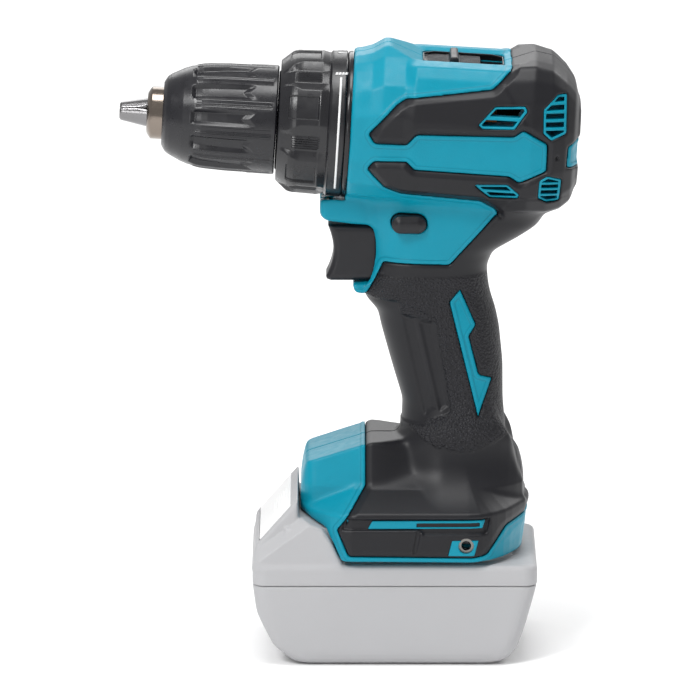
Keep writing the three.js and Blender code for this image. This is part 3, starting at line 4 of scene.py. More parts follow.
import bpy
import numpy as np
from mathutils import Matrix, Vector


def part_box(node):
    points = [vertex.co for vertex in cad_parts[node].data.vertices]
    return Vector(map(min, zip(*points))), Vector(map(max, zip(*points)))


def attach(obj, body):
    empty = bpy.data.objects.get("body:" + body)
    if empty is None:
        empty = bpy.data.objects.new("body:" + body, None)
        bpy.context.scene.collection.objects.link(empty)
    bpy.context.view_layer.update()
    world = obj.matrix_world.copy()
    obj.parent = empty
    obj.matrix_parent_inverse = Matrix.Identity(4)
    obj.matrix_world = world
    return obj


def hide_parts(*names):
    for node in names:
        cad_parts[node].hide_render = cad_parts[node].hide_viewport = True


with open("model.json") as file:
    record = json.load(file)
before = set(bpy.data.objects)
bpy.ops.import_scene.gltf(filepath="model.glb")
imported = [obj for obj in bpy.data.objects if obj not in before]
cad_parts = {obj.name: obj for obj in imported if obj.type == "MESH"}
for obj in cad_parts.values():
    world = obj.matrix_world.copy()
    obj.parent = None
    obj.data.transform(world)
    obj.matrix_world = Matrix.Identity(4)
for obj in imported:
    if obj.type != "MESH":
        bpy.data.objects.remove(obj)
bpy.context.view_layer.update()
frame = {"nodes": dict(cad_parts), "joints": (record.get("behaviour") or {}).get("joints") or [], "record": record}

MM = 0.001

# ------------------------------------------------------- places in the frame


def node_points(node):
    """A CAD node's corner points, in millimetres."""
    vertices = frame["nodes"][node].data.vertices
    points = np.zeros(len(vertices) * 3)
    vertices.foreach_get("co", points)
    return points.reshape(-1, 3) / MM


def extent(*nodes):
    """The lowest and highest corner of some CAD nodes together, in millimetres."""
    boxes = [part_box(node) for node in nodes]
    low = np.min([box[0] for box in boxes], axis=0)
    high = np.max([box[1] for box in boxes], axis=0)
    return low / MM, high / MM


def joint(name):
    return next(j for j in frame["joints"] if j["name"] == name)


SPIN = joint("chuck_spin")
COS, SIN = SPIN["axis"][0], -SPIN["axis"][2]
HEAD_Z = SPIN["pos_m"][2] / MM


def to_head(x, z):
    """Distance along the head's axis and height above it."""
    rise = z - HEAD_Z
    return x * COS - rise * SIN, x * SIN + rise * COS


def to_tool(u, v):
    return u * COS + v * SIN, HEAD_Z - u * SIN + v * COS


def reach(node):
    """Front, rear and greatest radius of a node about the head's axis."""
    x, y, z = node_points(node).T
    u, v = to_head(x, z)
    return u.min(), u.max(), np.hypot(y, v).max()


# -------------------------------------------------------------- field helpers


def part_way(distance, width):
    """A straight ramp: 0 up to nothing, and 1 from a width on."""
    return np.clip(distance / width, 0, 1)


def all_of(field, *others):
    """The sharp meeting of any number of fields: inside where each of them is."""
    for other in others:
        field = np.maximum(field, other)
    return field


def ramp(value, start, end):
    """0 before start and 1 after end, with soft ends."""
    t = part_way(value - start, end - start)
    return t * t * (3 - 2 * t)


def join(a, b, reach_mm):
    """Union of two fields with a fillet."""
    near = np.maximum(reach_mm - np.abs(a - b), 0) / reach_mm
    return np.minimum(a, b) - near * near * reach_mm / 4


def meet(a, b, reach_mm):
    """Intersection of two fields with a rounded edge."""
    return -join(-a, -b, reach_mm)


def soften(values, width, axis):
    """Gaussian smoothing along one axis, by a width in samples."""
    span = int(math.ceil(3 * width))
    weights = np.exp(-0.5 * (np.arange(-span, span + 1) / width) ** 2)
    weights /= weights.sum()
    padding = [(span, span) if k == axis else (0, 0) for k in range(values.ndim)]
    padded = np.pad(values, padding, mode="edge")
    length = values.shape[axis]
    return sum(w * padded.take(range(k, k + length), axis) for k, w in enumerate(weights))


def lookup(table, row, column):
    """Bilinear reading of a table at fractional rows and columns."""
    row = np.clip(row, 0, table.shape[0] - 1.001)
    column = np.clip(column, 0, table.shape[1] - 1.001)
    r, c = row.astype(np.int32), column.astype(np.int32)
    row, column = row - r, column - c
    near = table[r, c] * (1 - column) + table[r, c + 1] * column
    far = table[r + 1, c] * (1 - column) + table[r + 1, c + 1] * column
    return near * (1 - row) + far * row


def rounded(points, radius, steps=4):
    """An outline with its corners replaced by arcs."""
    corners = [np.array(p, float) for p in points]
    result = []
    neighbours = zip(corners[-1:] + corners[:-1], corners, corners[1:] + corners[:1])
    for before, corner, after in neighbours:
        back, ahead = before - corner, after - corner
        cut = min(radius, np.hypot(*back) / 2.2, np.hypot(*ahead) / 2.2)
        start = corner + back / np.hypot(*back) * cut
        end = corner + ahead / np.hypot(*ahead) * cut
        for t in np.linspace(0, 1, steps):
            result.append(tuple((1 - t) ** 2 * start + 2 * t * (1 - t) * corner + t * t * end))
    return result


def outline(points, x, z):
    """Signed distance to a closed outline in a plane, negative inside."""
    nearest = np.full(np.broadcast(x, z).shape, np.inf)
    inside = np.zeros(nearest.shape, bool)
    for (x0, z0), (x1, z1) in zip(points, list(points[1:]) + [points[0]]):
        dx, dz = x1 - x0, z1 - z0
        t = np.clip(((x - x0) * dx + (z - z0) * dz) / (dx * dx + dz * dz), 0, 1)
        nearest = np.minimum(nearest, np.hypot(x - x0 - t * dx, z - z0 - t * dz))
        if dz:
            inside ^= ((z0 > z) != (z1 > z)) & (x < x0 + (z - z0) * dx / dz)
    return np.where(inside, -nearest, nearest).astype(np.float32)


def box_field(low, high, x, y, z):
    middle, half = (low + high) / 2, (high - low) / 2
    away = [np.abs(p - m) - h for p, m, h in zip((x, y, z), middle, half)]
    return np.maximum(np.maximum(away[0], away[1]), away[2])


def evened(field, step):
    """A field turned into a distance: divided by how fast it changes."""
    slopes = np.gradient(field, step)
    return field / np.maximum(np.sqrt(sum(s * s for s in slopes)), 0.4)


class Grid:
    """A block of sample points, and the net over the zero level of a field."""

    def __init__(self, low, high, step):
        self.low, self.step = np.array(low, float), step
        axes = [np.arange(a, b + step, step, dtype=np.float32) for a, b in zip(low, high)]
        self.x, self.y, self.z = np.ix_(*axes)

    def net(self, field):
        """Points and quads of a surface net: one point for each cell the surface passes."""
        inside = field < 0
        corners = [(i, j, k) for i in (0, 1) for j in (0, 1) for k in (0, 1)]
        size = [n - 1 for n in field.shape]
        count = np.zeros(size, np.int8)
        for i, j, k in corners:
            count += inside[i:i + size[0], j:j + size[1], k:k + size[2]]
        cells = np.argwhere((count > 0) & (count < 8))
        total, crossings = np.zeros((len(cells), 3)), np.zeros((len(cells), 1))
        for axis in range(3):
            for corner in corners:
                if corner[axis]:
                    continue
                start = cells + corner
                end = start.copy()
                end[:, axis] += 1
                a, b = field[tuple(start.T)], field[tuple(end.T)]
                crossed = (a < 0) != (b < 0)
                share = np.where(crossed, a / np.where(crossed, a - b, 1), 0)
                point = np.array(corner, float) + np.zeros((len(cells), 3))
                point[:, axis] += share
                total += point * crossed[:, None]
                crossings += crossed[:, None]
        points = self.low + (cells + total / crossings) * self.step
        return points, self.quads(inside, cells, size)

    def quads(self, inside, cells, size):
        number = np.full(size, -1, np.int32)
        number[tuple(cells.T)] = np.arange(len(cells))
        faces = []
        for axis in range(3):
            others = [k for k in range(3) if k != axis]
            first = np.take(inside, range(0, size[axis]), axis)
            second = np.take(inside, range(1, size[axis] + 1), axis)
            edges = np.argwhere(first != second)
            keep = np.all([(edges[:, k] > 0) & (edges[:, k] < size[k]) for k in others], axis=0)
            edges = edges[keep]
            around = []
            for a, b in ((1, 1), (0, 1), (0, 0), (1, 0)):
                cell = edges.copy()
                cell[:, others[0]] -= a
                cell[:, others[1]] -= b
                around.append(number[tuple(cell.T)])
            quad = np.stack(around, 1)
            flip = first[tuple(edges.T)] ^ (axis == 1)
            faces.append(np.where(flip[:, None], quad, quad[:, ::-1]))
        return np.concatenate(faces)


# --------------------------------------------------------------- mesh helpers


def piece(name, points, faces, finish, body, slot, replaced=(), sharp=None):
    """A mesh object from points in millimetres, riding on a CAD body."""
    mesh = bpy.data.meshes.new(name)
    mesh.vertices.add(len(points))
    mesh.vertices.foreach_set("co", (np.asarray(points) * MM).astype(np.float32).ravel())
    faces = np.asarray(faces, np.int32)
    mesh.loops.add(faces.size)
    mesh.loops.foreach_set("vertex_index", faces.ravel())
    mesh.polygons.add(len(faces))
    starts = np.arange(0, faces.size, faces.shape[1], dtype=np.int32)
    mesh.polygons.foreach_set("loop_start", starts)
    mesh.update(calc_edges=True)
    mesh.polygons.foreach_set("use_smooth", np.ones(len(faces), bool))
    if sharp:
        mesh.set_sharp_from_angle(angle=math.radians(sharp))
    mesh.materials.append(finish)
    obj = bpy.data.objects.new(name, mesh)
    bpy.context.scene.collection.objects.link(obj)
    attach(obj, body)
    if replaced:
        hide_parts(*replaced)
    return obj


def note(obj, name, values):
    """Keeps one number per point, for the material to read."""
    attribute = obj.data.attributes.new(name, "FLOAT", "POINT")
    attribute.data.foreach_set("value", np.asarray(values, np.float32))


def both_sides(name, points, faces, finish, body, slot, node=None):
    """The same mesh as a left piece and, mirrored, as a right one."""
    sides = (("left", points, faces), ("right", points * [1, -1, 1], faces[:, ::-1]))
    return [piece(f"{word}_{name}", places, quads, finish, body, slot,
                  [f"{word}_{node}"] if node else ()) for word, places, quads in sides]


def ring_mesh(u, radius, around=None):
    """A closed surface of revolution. Rows follow the section's loop, and columns go round
    the head's axis from the top towards the near side."""
    rows, columns = np.broadcast(u, radius).shape
    angle = np.linspace(0, 2 * np.pi, columns, endpoint=False) if around is None else around
    x, z = to_tool(np.broadcast_to(u, (rows, columns)), radius * np.cos(angle))
    y = -radius * np.sin(angle)
    points = np.stack([x, y, z], -1).reshape(-1, 3)
    number = np.arange(rows * columns).reshape(rows, columns)
    below = np.roll(number, -1, 0)
    quads = np.stack([number, below, np.roll(below, -1, 1), np.roll(number, -1, 1)], -1)
    return points, quads.reshape(-1, 4)


# ------------------------------------------------------------------ materials


def linear(red, green, blue, alpha=1.0):
    """An sRGB colour, 0 to 255, as the linear one that shaders take."""
    shares = [c / 255 for c in (red, green, blue)]
    return tuple(s / 12.92 if s < 0.04045 else ((s + 0.055) / 1.055) ** 2.4
                 for s in shares) + (alpha,)


def tinted(shade, factor):
    """A shade made darker or lighter."""
    return tuple(min(1, c * factor) for c in shade[:3]) + (1,)


class Finish:
    """A procedural material, built up from noise in the object's coordinates."""

    def __init__(self, name, roughness, metallic=0.0, specular=0.5, coat=0.0):
        self.material = bpy.data.materials.new(name)
        self.material.use_nodes = True
        self.tree = self.material.node_tree
        self.shader = self.tree.nodes["Principled BSDF"]
        self.shader.inputs["Roughness"].default_value = roughness
        self.shader.inputs["Metallic"].default_value = metallic
        self.shader.inputs["Specular IOR Level"].default_value = specular
        self.shader.inputs["Coat Weight"].default_value = coat
        self.place = self.tree.nodes.new("ShaderNodeTexCoord").outputs["Object"]

    def link(self, value, socket):
        if isinstance(value, bpy.types.NodeSocket):
            self.tree.links.new(value, socket)
        else:
            socket.default_value = value

    def add(self, kind, output=0, **inputs):
        node = self.tree.nodes.new(kind)
        for name, value in inputs.items():
            self.link(value, node.inputs[name.replace("_", " ")])
        return node.outputs[output]

    def noise(self, scale, detail=2.0, stretch=None):
        place = self.place
        if stretch:
            mapping = self.tree.nodes.new("ShaderNodeMapping")
            mapping.inputs["Scale"].default_value = stretch
            self.link(place, mapping.inputs["Vector"])
            place = mapping.outputs["Vector"]
        return self.add("ShaderNodeTexNoise", Vector=place, Scale=scale, Detail=detail)

    def cells(self, scale):
        return self.add("ShaderNodeTexVoronoi", Vector=self.place, Scale=scale)

    def attribute(self, name):
        node = self.tree.nodes.new("ShaderNodeAttribute")
        node.attribute_name = name
        return node.outputs["Fac"]

    def math(self, operation, a, b=0.0, c=0.0):
        node = self.tree.nodes.new("ShaderNodeMath")
        node.operation = operation
        for socket, value in zip(node.inputs, (a, b, c)):
            self.link(value, socket)
        return node.outputs[0]

    def spread(self, value, low, high, to_low=0.0, to_high=1.0):
        node = self.tree.nodes.new("ShaderNodeMapRange")
        for socket, v in zip(node.inputs, (value, low, high, to_low, to_high)):
            self.link(v, socket)
        return node.outputs[0]

    def mix(self, factor, a, b):
        node = self.tree.nodes.new("ShaderNodeMix")
        node.data_type = "RGBA"
        self.link(factor, node.inputs["Factor"])
        self.link(a, node.inputs["A"])
        self.link(b, node.inputs["B"])
        return node.outputs["Result"]

    def color(self, value):
        self.link(value, self.shader.inputs["Base Color"])

    def roughness(self, value):
        self.link(value, self.shader.inputs["Roughness"])

    def bump(self, height, distance, strength=1.0, normal=None):
        node = self.tree.nodes.new("ShaderNodeBump")
        node.inputs["Distance"].default_value = distance
        node.inputs["Strength"].default_value = strength
        self.link(height, node.inputs["Height"])
        if normal is not None:
            self.link(normal, node.inputs["Normal"])
        self.link(node.outputs["Normal"], self.shader.inputs["Normal"])
        return node.outputs["Normal"]


def moulded(name, shade, roughness, grain=1400.0, depth=0.00002, variation=0.06, **gloss):
    """Moulded plastic: a fine even grain, and faint changes of shade and gloss."""
    finish = Finish(name, roughness, **gloss)
    clouds = finish.noise(38.0, 4.0)
    finish.color(finish.mix(clouds, tinted(shade, 1 - variation), tinted(shade, 1 + variation)))
    finish.roughness(finish.spread(finish.noise(260.0), 0.3, 0.7,
                                   roughness - 0.05, roughness + 0.06))
    finish.bump(finish.noise(grain, 3.0), depth)
    return finish.material


def shell_plastic(name, shade, roughness):
    """The shell's plastic: an even sparked texture, with a painted shade line along the step beside the soft
    cover.
    """
    finish = Finish(name, roughness, specular=0.22)
    edge = finish.attribute("edge")
    away = finish.math("ABSOLUTE", finish.math("SUBTRACT", edge, 1.9))
    # painted shade: a dark line about 1.9 mm out from the soft cover's edge, on the shell's step there, standing
    # in for its shadow
    line = finish.spread(away, 0.0, 0.3, 1.0, 0.0)
    base = finish.mix(finish.noise(120.0, 6.0), tinted(shade, 0.92), tinted(shade, 1.07))
    finish.color(finish.mix(finish.math("MULTIPLY", line, 0.55), base, tinted(shade, 0.5)))
    finish.roughness(finish.spread(finish.noise(300.0), 0.3, 0.7,
                                   roughness - 0.05, roughness + 0.06))
    finish.bump(finish.noise(1500.0, 4.0), 0.00005)
    return finish.material


def rubber(name, shade, roughness):
    """Soft cover: pebbled like leather where the hand holds it, and smooth elsewhere, with painted highlights on
    the pebbles' crests.
    """
    finish = Finish(name, roughness, specular=0.3)
    pebbles = finish.spread(finish.cells(1000.0), 0.0, 0.8, 1.0, 0.0)
    wrinkles = finish.noise(900.0, 5.0)
    grip = finish.attribute("grain")
    base = finish.mix(finish.noise(70.0, 6.0), tinted(shade, 0.8), tinted(shade, 1.2))
    height = finish.math("MULTIPLY", finish.math("ADD", pebbles, wrinkles), grip)
    # painted highlight: the pebbles' crests are coloured lighter, as if lit from above
    painted_crest_highlight = finish.spread(height, 0.75, 1.35)
    finish.color(finish.mix(finish.math("MULTIPLY", painted_crest_highlight, 0.5), base, tinted(shade, 2.6)))
    finish.roughness(finish.spread(grip, 0.0, 1.0, roughness - 0.08, roughness - 0.02))
    grain = finish.bump(finish.noise(2400.0, 2.0), 0.00002)
    finish.bump(height, 0.0004, 1.0, grain)
    return finish.material


def metal(name, shade, roughness, stretch=(1, 1, 1), scale=900.0, depth=0.000012):
    """Turned or ground metal with fine marks along one direction."""
    finish = Finish(name, roughness, metallic=1.0)
    marks = finish.noise(scale, 4.0, stretch)
    finish.color(finish.mix(finish.noise(60.0, 3.0), tinted(shade, 0.86), shade))
    finish.roughness(finish.spread(marks, 0.3, 0.7, max(0.05, roughness - 0.08), roughness + 0.1))
    finish.bump(marks, depth)
    return finish.material


def lens_plastic(name):
    finish = Finish(name, 0.12, specular=0.6)
    finish.shader.inputs["Transmission Weight"].default_value = 0.6
    finish.color(finish.mix(finish.noise(400.0), linear(225, 232, 236), linear(244, 247, 248)))
    finish.bump(finish.noise(900.0), 0.00001)
    return finish.material


TEAL = shell_plastic("teal_plastic", linear(0, 132, 155), 0.4)
INLAY = moulded("teal_inlay", linear(0, 132, 155), 0.4, specular=0.22)
RUBBER = rubber("black_rubber", linear(22, 22, 26), 0.5)
SLEEVE = moulded("sleeve_plastic", linear(20, 20, 25), 0.3, grain=1800.0, specular=0.5)
COLLAR = moulded("collar_plastic", linear(20, 20, 24), 0.3, grain=1600.0, specular=0.5)
GLOSS_BLACK = moulded("gloss_black", linear(20, 20, 23), 0.2, specular=0.4)
BLACK = moulded("black_plastic", linear(24, 24, 28), 0.38, specular=0.35)
PRINT = moulded("white_print", linear(225, 225, 225), 0.5, variation=0.02)
STEEL = metal("bright_steel", linear(132, 131, 132), 0.2, (1, 30, 30), 700.0)
NICKEL = metal("nickel_nose", linear(136, 126, 117), 0.16, (1, 20, 20), 500.0, 0.000006)
DARK_STEEL = metal("dark_steel", linear(112, 110, 110), 0.36)
PALE = moulded("pale_case", linear(170, 170, 172), 0.5, variation=0.03, specular=0.3)
WHITE = moulded("white_plastic", linear(232, 232, 232), 0.45, variation=0.02, specular=0.3)
CAST = metal("cast_aluminium", linear(170, 172, 176), 0.5, scale=500.0, depth=0.00006)
COPPER = metal("copper_wire", linear(190, 108, 62), 0.32, (1, 20, 1), 1200.0, 0.00004)
BOARD = moulded("circuit_board", linear(24, 96, 60), 0.4)
BRASS = metal("plated_brass", linear(128, 126, 122), 0.26)
RED_LEAD = moulded("red_lead", linear(176, 36, 30), 0.45)
BLACK_LEAD = moulded("black_lead", linear(34, 34, 36), 0.5)
CELL_WRAP = moulded("cell_wrap", linear(70, 140, 112), 0.35)
LENS = lens_plastic("lamp_lens_plastic")

SLOT_FINISHES = {
    "black_plastic": BLACK, "bright_steel": STEEL, "dark_steel": DARK_STEEL,
    "cast_aluminium": CAST, "copper_winding": COPPER, "circuit_board": BOARD,
    "pale_case": PALE, "white_button": WHITE, "lamp_glass": LENS, "brass_insert": BRASS,
    "red_lead": RED_LEAD, "black_lead": BLACK_LEAD, "cell_wrap": CELL_WRAP,
    "teal_shell": INLAY, "soft_cover": BLACK,
}


def finish_cad_nodes():
    """Every CAD node that still shows takes the finish of its slot."""
    for row in frame["record"]["subparts"]:
        obj = frame["nodes"][row["node"]]
        finish = SLOT_FINISHES[row["material_slot"]]
        if obj.data.materials:
            for index in range(len(obj.data.materials)):
                obj.data.materials[index] = finish
        else:
            obj.data.materials.append(finish)


# ----------------------------------------------------------------- tool body

HEAD_LENGTH = 91.08
HEAD_HALF = 32.5
HEAD_TOP = 31.2
HEAD_BOTTOM = 28.5
HUMP_TOP = 34.5

# Corners of a quarter section as shares of its width and height.
FACETED = [(1, 0), (1, 0.28), (0.96, 0.58), (0.87, 0.82), (0.75, 0.955), (0.5, 0.985), (0, 1.01)]
HUMPED = [(1, 0), (1, 0.3), (0.87, 0.63), (0.5, 0.91), (0.29, 1.0), (0, 1.0)]
UNDERSIDE = [(0, 1), (0.36, 0.98), (0.7, 0.88), (0.9, 0.66), (0.985, 0.32), (1, 0)]

# Head stations: distance, half width, top, bottom, and how faceted it is.
HEAD_STATIONS = np.array([
    (0, HEAD_HALF * 0.915, HUMP_TOP * 0.862, HEAD_BOTTOM * 0.97, 0.3),
    (3.4, HEAD_HALF * 0.94, HUMP_TOP * 0.876, HEAD_BOTTOM * 0.975, 0.2),
    (7.6, HEAD_HALF * 0.96, HUMP_TOP * 0.915, HEAD_BOTTOM * 0.98, 0),
    (12.2, HEAD_HALF * 0.98, HUMP_TOP * 1.0, HEAD_BOTTOM * 0.985, 0),
    (21.0, HEAD_HALF * 0.985, HUMP_TOP * 1.012, HEAD_BOTTOM * 0.99, 0),
    (24.8, HEAD_HALF, HEAD_TOP, HEAD_BOTTOM, 1),
    (HEAD_LENGTH - 30, HEAD_HALF, HEAD_TOP, HEAD_BOTTOM, 1),
    (HEAD_LENGTH - 19, HEAD_HALF, HEAD_TOP + 1.2, HEAD_BOTTOM, 1),
    (HEAD_LENGTH - 12, HEAD_HALF * 0.955, HEAD_TOP, HEAD_BOTTOM * 0.99, 0.9),
    (HEAD_LENGTH - 6, HEAD_HALF * 0.87, HEAD_TOP * 0.86, HEAD_BOTTOM * 0.94, 0.85),
    (HEAD_LENGTH - 2, HEAD_HALF * 0.77, HEAD_TOP * 0.72, HEAD_BOTTOM * 0.85, 0.8),
    (HEAD_LENGTH, HEAD_HALF * 0.66, HEAD_TOP * 0.58, HEAD_BOTTOM * 0.73, 0.7),
])

# Handle sections: height, front, back and half width.
HANDLE = np.array([
    (60, 21, 62.4, 18.4), (93, 21, 61.8, 18), (103, 21.4, 60.9, 17.4),
    (117.8, 17, 60.8, 17.2), (132.6, 12.9, 59.3, 17), (140, 11.3, 57.7, 17),
    (144.9, 6.5, 56, 17), (150, 4.8, 54.9, 17.2), (158, 7.4, 54.2, 17.8),
    (165, 8.6, 57, 19), (171.5, 8, 68.8, 20.2), (176, 6.4, 75.6, 21), (182, 6, 76, 21.4),
    (196, 8, 72, 19),
])

HANDLE_POWERS = 2.4, 2.6  # how square its sections are in front and behind
HANDLE_SOFTNESS = 1.6
HANDLE_WALL = 4.6
HANDLE_TOP, HANDLE_FOOT = 196, 66  # where it ends inside the head and the foot
HOLLOW_MIDDLE, HOLLOW_HALF = 118, 52  # its hollow, up the handle
CHIN_HALF = 11  # half width of the chin, and of the lip under the trigger

# Foot: levels, half widths and plans, with Y away from the middle.
FOOT_RIM = 43.6
FOOT_HALF = 39.5
FOOT_TOP = 87.8
FOOT_SHOULDER = 71.2
FLARE_FOOT = 62.6
UPPER_HALF = 25.2
FLOW_IN = 8.6
FOOT_NOSE = -19.9
FOOT_BACK = 71.8
FOOT_DRAFT = 0.25  # its sides lean in, for each millimetre of height
HOOD_AT_NOSE, HOOD_RISE = 79.6, 0.32  # the sloping top: its height at the nose, and its slope
NOSE_LEVEL, NOSE_LEAN = 72, 0.26  # the nose leans back, measured from this level
FLARE_SLOPE = 1.66
REAR_PLANES = [(0.92, 0.39, 93.9), (0.5, 0.866, 106.0)]  # shares of X and Z, and distance
UPPER_PLAN = [
    (FOOT_NOSE, -60), (FOOT_NOSE, 17.5), (-16.5, 22.6), (6, UPPER_HALF), (46, UPPER_HALF), (60, 21.5),
    (69, 12.5), (FOOT_BACK, -60),
]
LOWER_PLAN = [
    (FOOT_NOSE + 1, -60), (FOOT_NOSE + 1, 19), (-16.5, 26), (-4.5, FOOT_HALF), (53, FOOT_HALF),
    (62, 30.5), (68.5, 16), (FOOT_BACK, 5), (FOOT_BACK, -60),
]
UNDER_NOSE = [
    (-60, 60.0), (-19.4, 60.0), (-10.7, 56.7), (-6.6, 50.4), (-2.4, FOOT_RIM - 2),
    (-60, FOOT_RIM - 2),
]

COVER_DEPTH = 1.5
COVER_PROUD = 0.8
PAD_RISE = 0.75
HEAD_PAD_RISE = 1.6

# The soft cover's outline on the head, in head coordinates. It leaves a bare
# plate of the shell in the middle of the side, and runs on over the rear.
REAR = HEAD_LENGTH
BEYOND_REAR = HEAD_LENGTH + 6
HEAD_COVER = [
    (REAR - 27.6, 45), (REAR - 27.6, 30.9), (REAR - 35.5, 22.9), (21.5, 17.4), (18, 14.8),
    (7.3, 2.5), (9.9, -1.1), (22.6, -0.8), (26.3, 3.6), (REAR - 26, 5), (REAR - 22.5, 7.8),
    (REAR - 12.5, 2.4), (REAR - 12.3, -8.5), (REAR - 22.9, -13.9), (REAR - 27, -11.4),
    (26.2, -10.9), (23, -7.8), (10, -8.4), (7.5, -11.8), (15, -19.2), (21.2, -21.6),
    (REAR - 37.7, -23), (REAR - 31.1, -26.7), (REAR - 27, -38), (BEYOND_REAR, -38),
    (BEYOND_REAR, 45),
]

# The cover's outline on the neck, handle and foot, in the tool's frame.
GRIP_COVER = [
    (58.5, 182.2), (40, 160.9), (13.5, 161.5), (11.6, 157.1), (9.5, 152.7), (6.4, 147.6),
    (-4, 147.6), (-4, 98), (6.2, 98), (6.2, 71.6), (-5.2, 56.6), (-0.6, 45.8), (49.9, 45.2),
    (55, 46.3), (62.6, 56.6), (72.5, 59.2), (96, 61), (96, 182.2),
]
GRIP_ISLAND = [
    (44.1, 150.6), (39.8, 145.5), (51.4, 98), (57.1, 113.6), (51.7, 115.4), (47.7, 131.3),
    (50.6, 135.7),
]
REAR_ISLAND = [(BEYOND_REAR, 7), (REAR - 4.3, 1.2), (REAR - 4.4, -7.2), (BEYOND_REAR, -9)]

# Vents, measured from a place on the head's axis: the frame's outline, and the
# heights of the ribs across it, with half of a rib's thickness.
VENTS = [
    (HEAD_LENGTH - 41,
     [(6.7, 16.8), (18.7, 17.6), (19.7, 15.6), (14.9, 8.1), (2.2, 7.7), (0.4, 9.2)], [12.2], 0.75),
    (HEAD_LENGTH - 15,
     [(5.4, 22.3), (9.1, 22.3), (9.7, 7), (3.9, 4.2), (0.5, 7.1), (0.1, 16.6)],
     [18.9, 15.6, 12.2, 8.9], 0.6),
    (HEAD_LENGTH - 41,
     [(0.3, -15.4), (13.6, -14.6), (18.5, -18.7), (18, -20.4), (6.9, -20.8)], [-17.7], 0.55),
    (HEAD_LENGTH - 15,
     [(3.4, -10.4), (8.9, -11.9), (8.6, -21.1), (3.5, -21.8), (0, -19.9), (0.2, -12.4)],
     [-13.5, -15.9, -18.4], 0.5),
]
VENT_RIM = 1.0

STEP = 0.5
GRID = Grid((-23, -40.7, 42.6), (94, 1.0, 251), STEP)


def polar(corners, angles):
    """Radius at some angles of a section given by a few corners."""
    dense = np.concatenate([
        np.linspace(a, b, 24)
        for a, b in zip(np.array(corners[:-1], float), np.array(corners[1:], float))
    ])
    angle = np.arctan2(dense[:, 1], dense[:, 0])
    order = np.argsort(angle)
    return np.interp(angles, angle[order], np.hypot(*dense[order].T))


def head_form(grid):
    """The motor housing: a star-shaped section whose radius varies along the axis."""
    margin, step = 4, 0.5
    along = np.arange(-margin, HEAD_LENGTH + margin, step)
    angles = np.radians(np.arange(-90, 91))
    columns = [np.interp(along, HEAD_STATIONS[:, 0], c) for c in HEAD_STATIONS.T]
    table = np.zeros((len(along), len(angles)), np.float32)
    upper = angles >= 0
    for row, (_, half, top, bottom, facet) in enumerate(zip(*columns)):
        hump = polar([(half * y, top * z) for y, z in HUMPED], angles)
        flat = polar([(half * y, top * z) for y, z in FACETED], angles)
        under = polar([(half * y, -bottom * z) for y, z in UNDERSIDE], angles)
        table[row] = np.where(upper, flat * facet + hump * (1 - facet), under)
    table = soften(soften(table, 0.7, 0), 0.9, 1)
    u, v = to_head(grid.x, grid.z)
    angle = np.degrees(np.arctan2(v, np.abs(grid.y)))
    radius = lookup(table, (u + margin) / step + np.zeros_like(angle), angle + 90)
    field = evened(np.hypot(grid.y, v) - radius, grid.step)
    return meet(meet(field, -u, 1.6), u - HEAD_LENGTH, 5.0)


def level_form(grid, sections, power_front, power_back, softness):
    """A form given by level sections, square towards the front and back by the powers."""
    fine = np.arange(sections[0, 0] - 10, sections[-1, 0] + 10, 0.5)
    z = grid.z.ravel()
    front, back, half = [
        np.interp(z, fine, soften(np.interp(fine, sections[:, 0], c), softness * 2, 0))
        .reshape(1, 1, -1).astype(np.float32) for c in sections.T[1:]
    ]
    centre = (front + back) / 2
    ahead = grid.x < centre
    width = np.where(ahead, centre - front, back - centre)
    power = np.where(ahead, power_front, power_back).astype(np.float32)
    along, across = np.abs(grid.x - centre) / width, np.abs(grid.y) / half
    total = np.maximum(along ** power + across ** power, 1e-6)
    return (total ** (1 / power) - 1) * np.minimum(width, half)


def handle_form(grid):
    """The handle, from its level sections."""
    return level_form(grid, HANDLE, *HANDLE_POWERS, HANDLE_SOFTNESS)


def slab(points, half, grid, edge):
    """An outline in the X-Z plane, carried across the tool to both sides."""
    return meet(outline(points, grid.x, grid.z), np.abs(grid.y) - half, edge)


def foot_form(grid):
    """The faceted foot: a block with a sloping top, on a wider flared base."""
    x, y, z = grid.x, np.abs(grid.y), grid.z
    over = np.maximum(z - FOOT_SHOULDER, 0)
    hollow = FLOW_IN * (1 - (1 - part_way(over, FOOT_TOP - FOOT_SHOULDER)) ** 2.2)
    under_hand = ramp(x, 8, 27)
    drafted = y + FOOT_DRAFT * over * (1 - under_hand) + hollow * under_hand
    upper = outline(rounded(UPPER_PLAN, 6.0), x + 0 * z, drafted)
    upper = meet(upper, z - FOOT_TOP, 1.0 + 5.0 * ramp(x, 6, 22))
    upper = meet(upper, (z - HOOD_AT_NOSE - HOOD_RISE * (x - FOOT_NOSE)) / 1.05, 1.0)
    upper = meet(upper, (NOSE_LEAN * (z - NOSE_LEVEL) - (x - FOOT_NOSE)) / 1.03, 1.5)
    for along, up, distance in REAR_PLANES:
        upper = meet(upper, along * x + up * z - distance, 3.0)
    plan = outline(rounded(LOWER_PLAN, 5.0, 3), x, y)
    flare = (plan + FLARE_SLOPE * (z - FLARE_FOOT)) / 1.94
    base = np.maximum(meet(plan + 0 * z, flare, 1.0), z - FOOT_SHOULDER - 2)
    foot = join(upper, base, 2.0)
    foot = meet(foot, (x - 69.3 - 0.2 * (z - FOOT_RIM)) / 1.02, 2.0)
    foot = meet(foot, -outline(UNDER_NOSE, x, z), 2.0)
    return meet(foot, FOOT_RIM - z, 0.8)


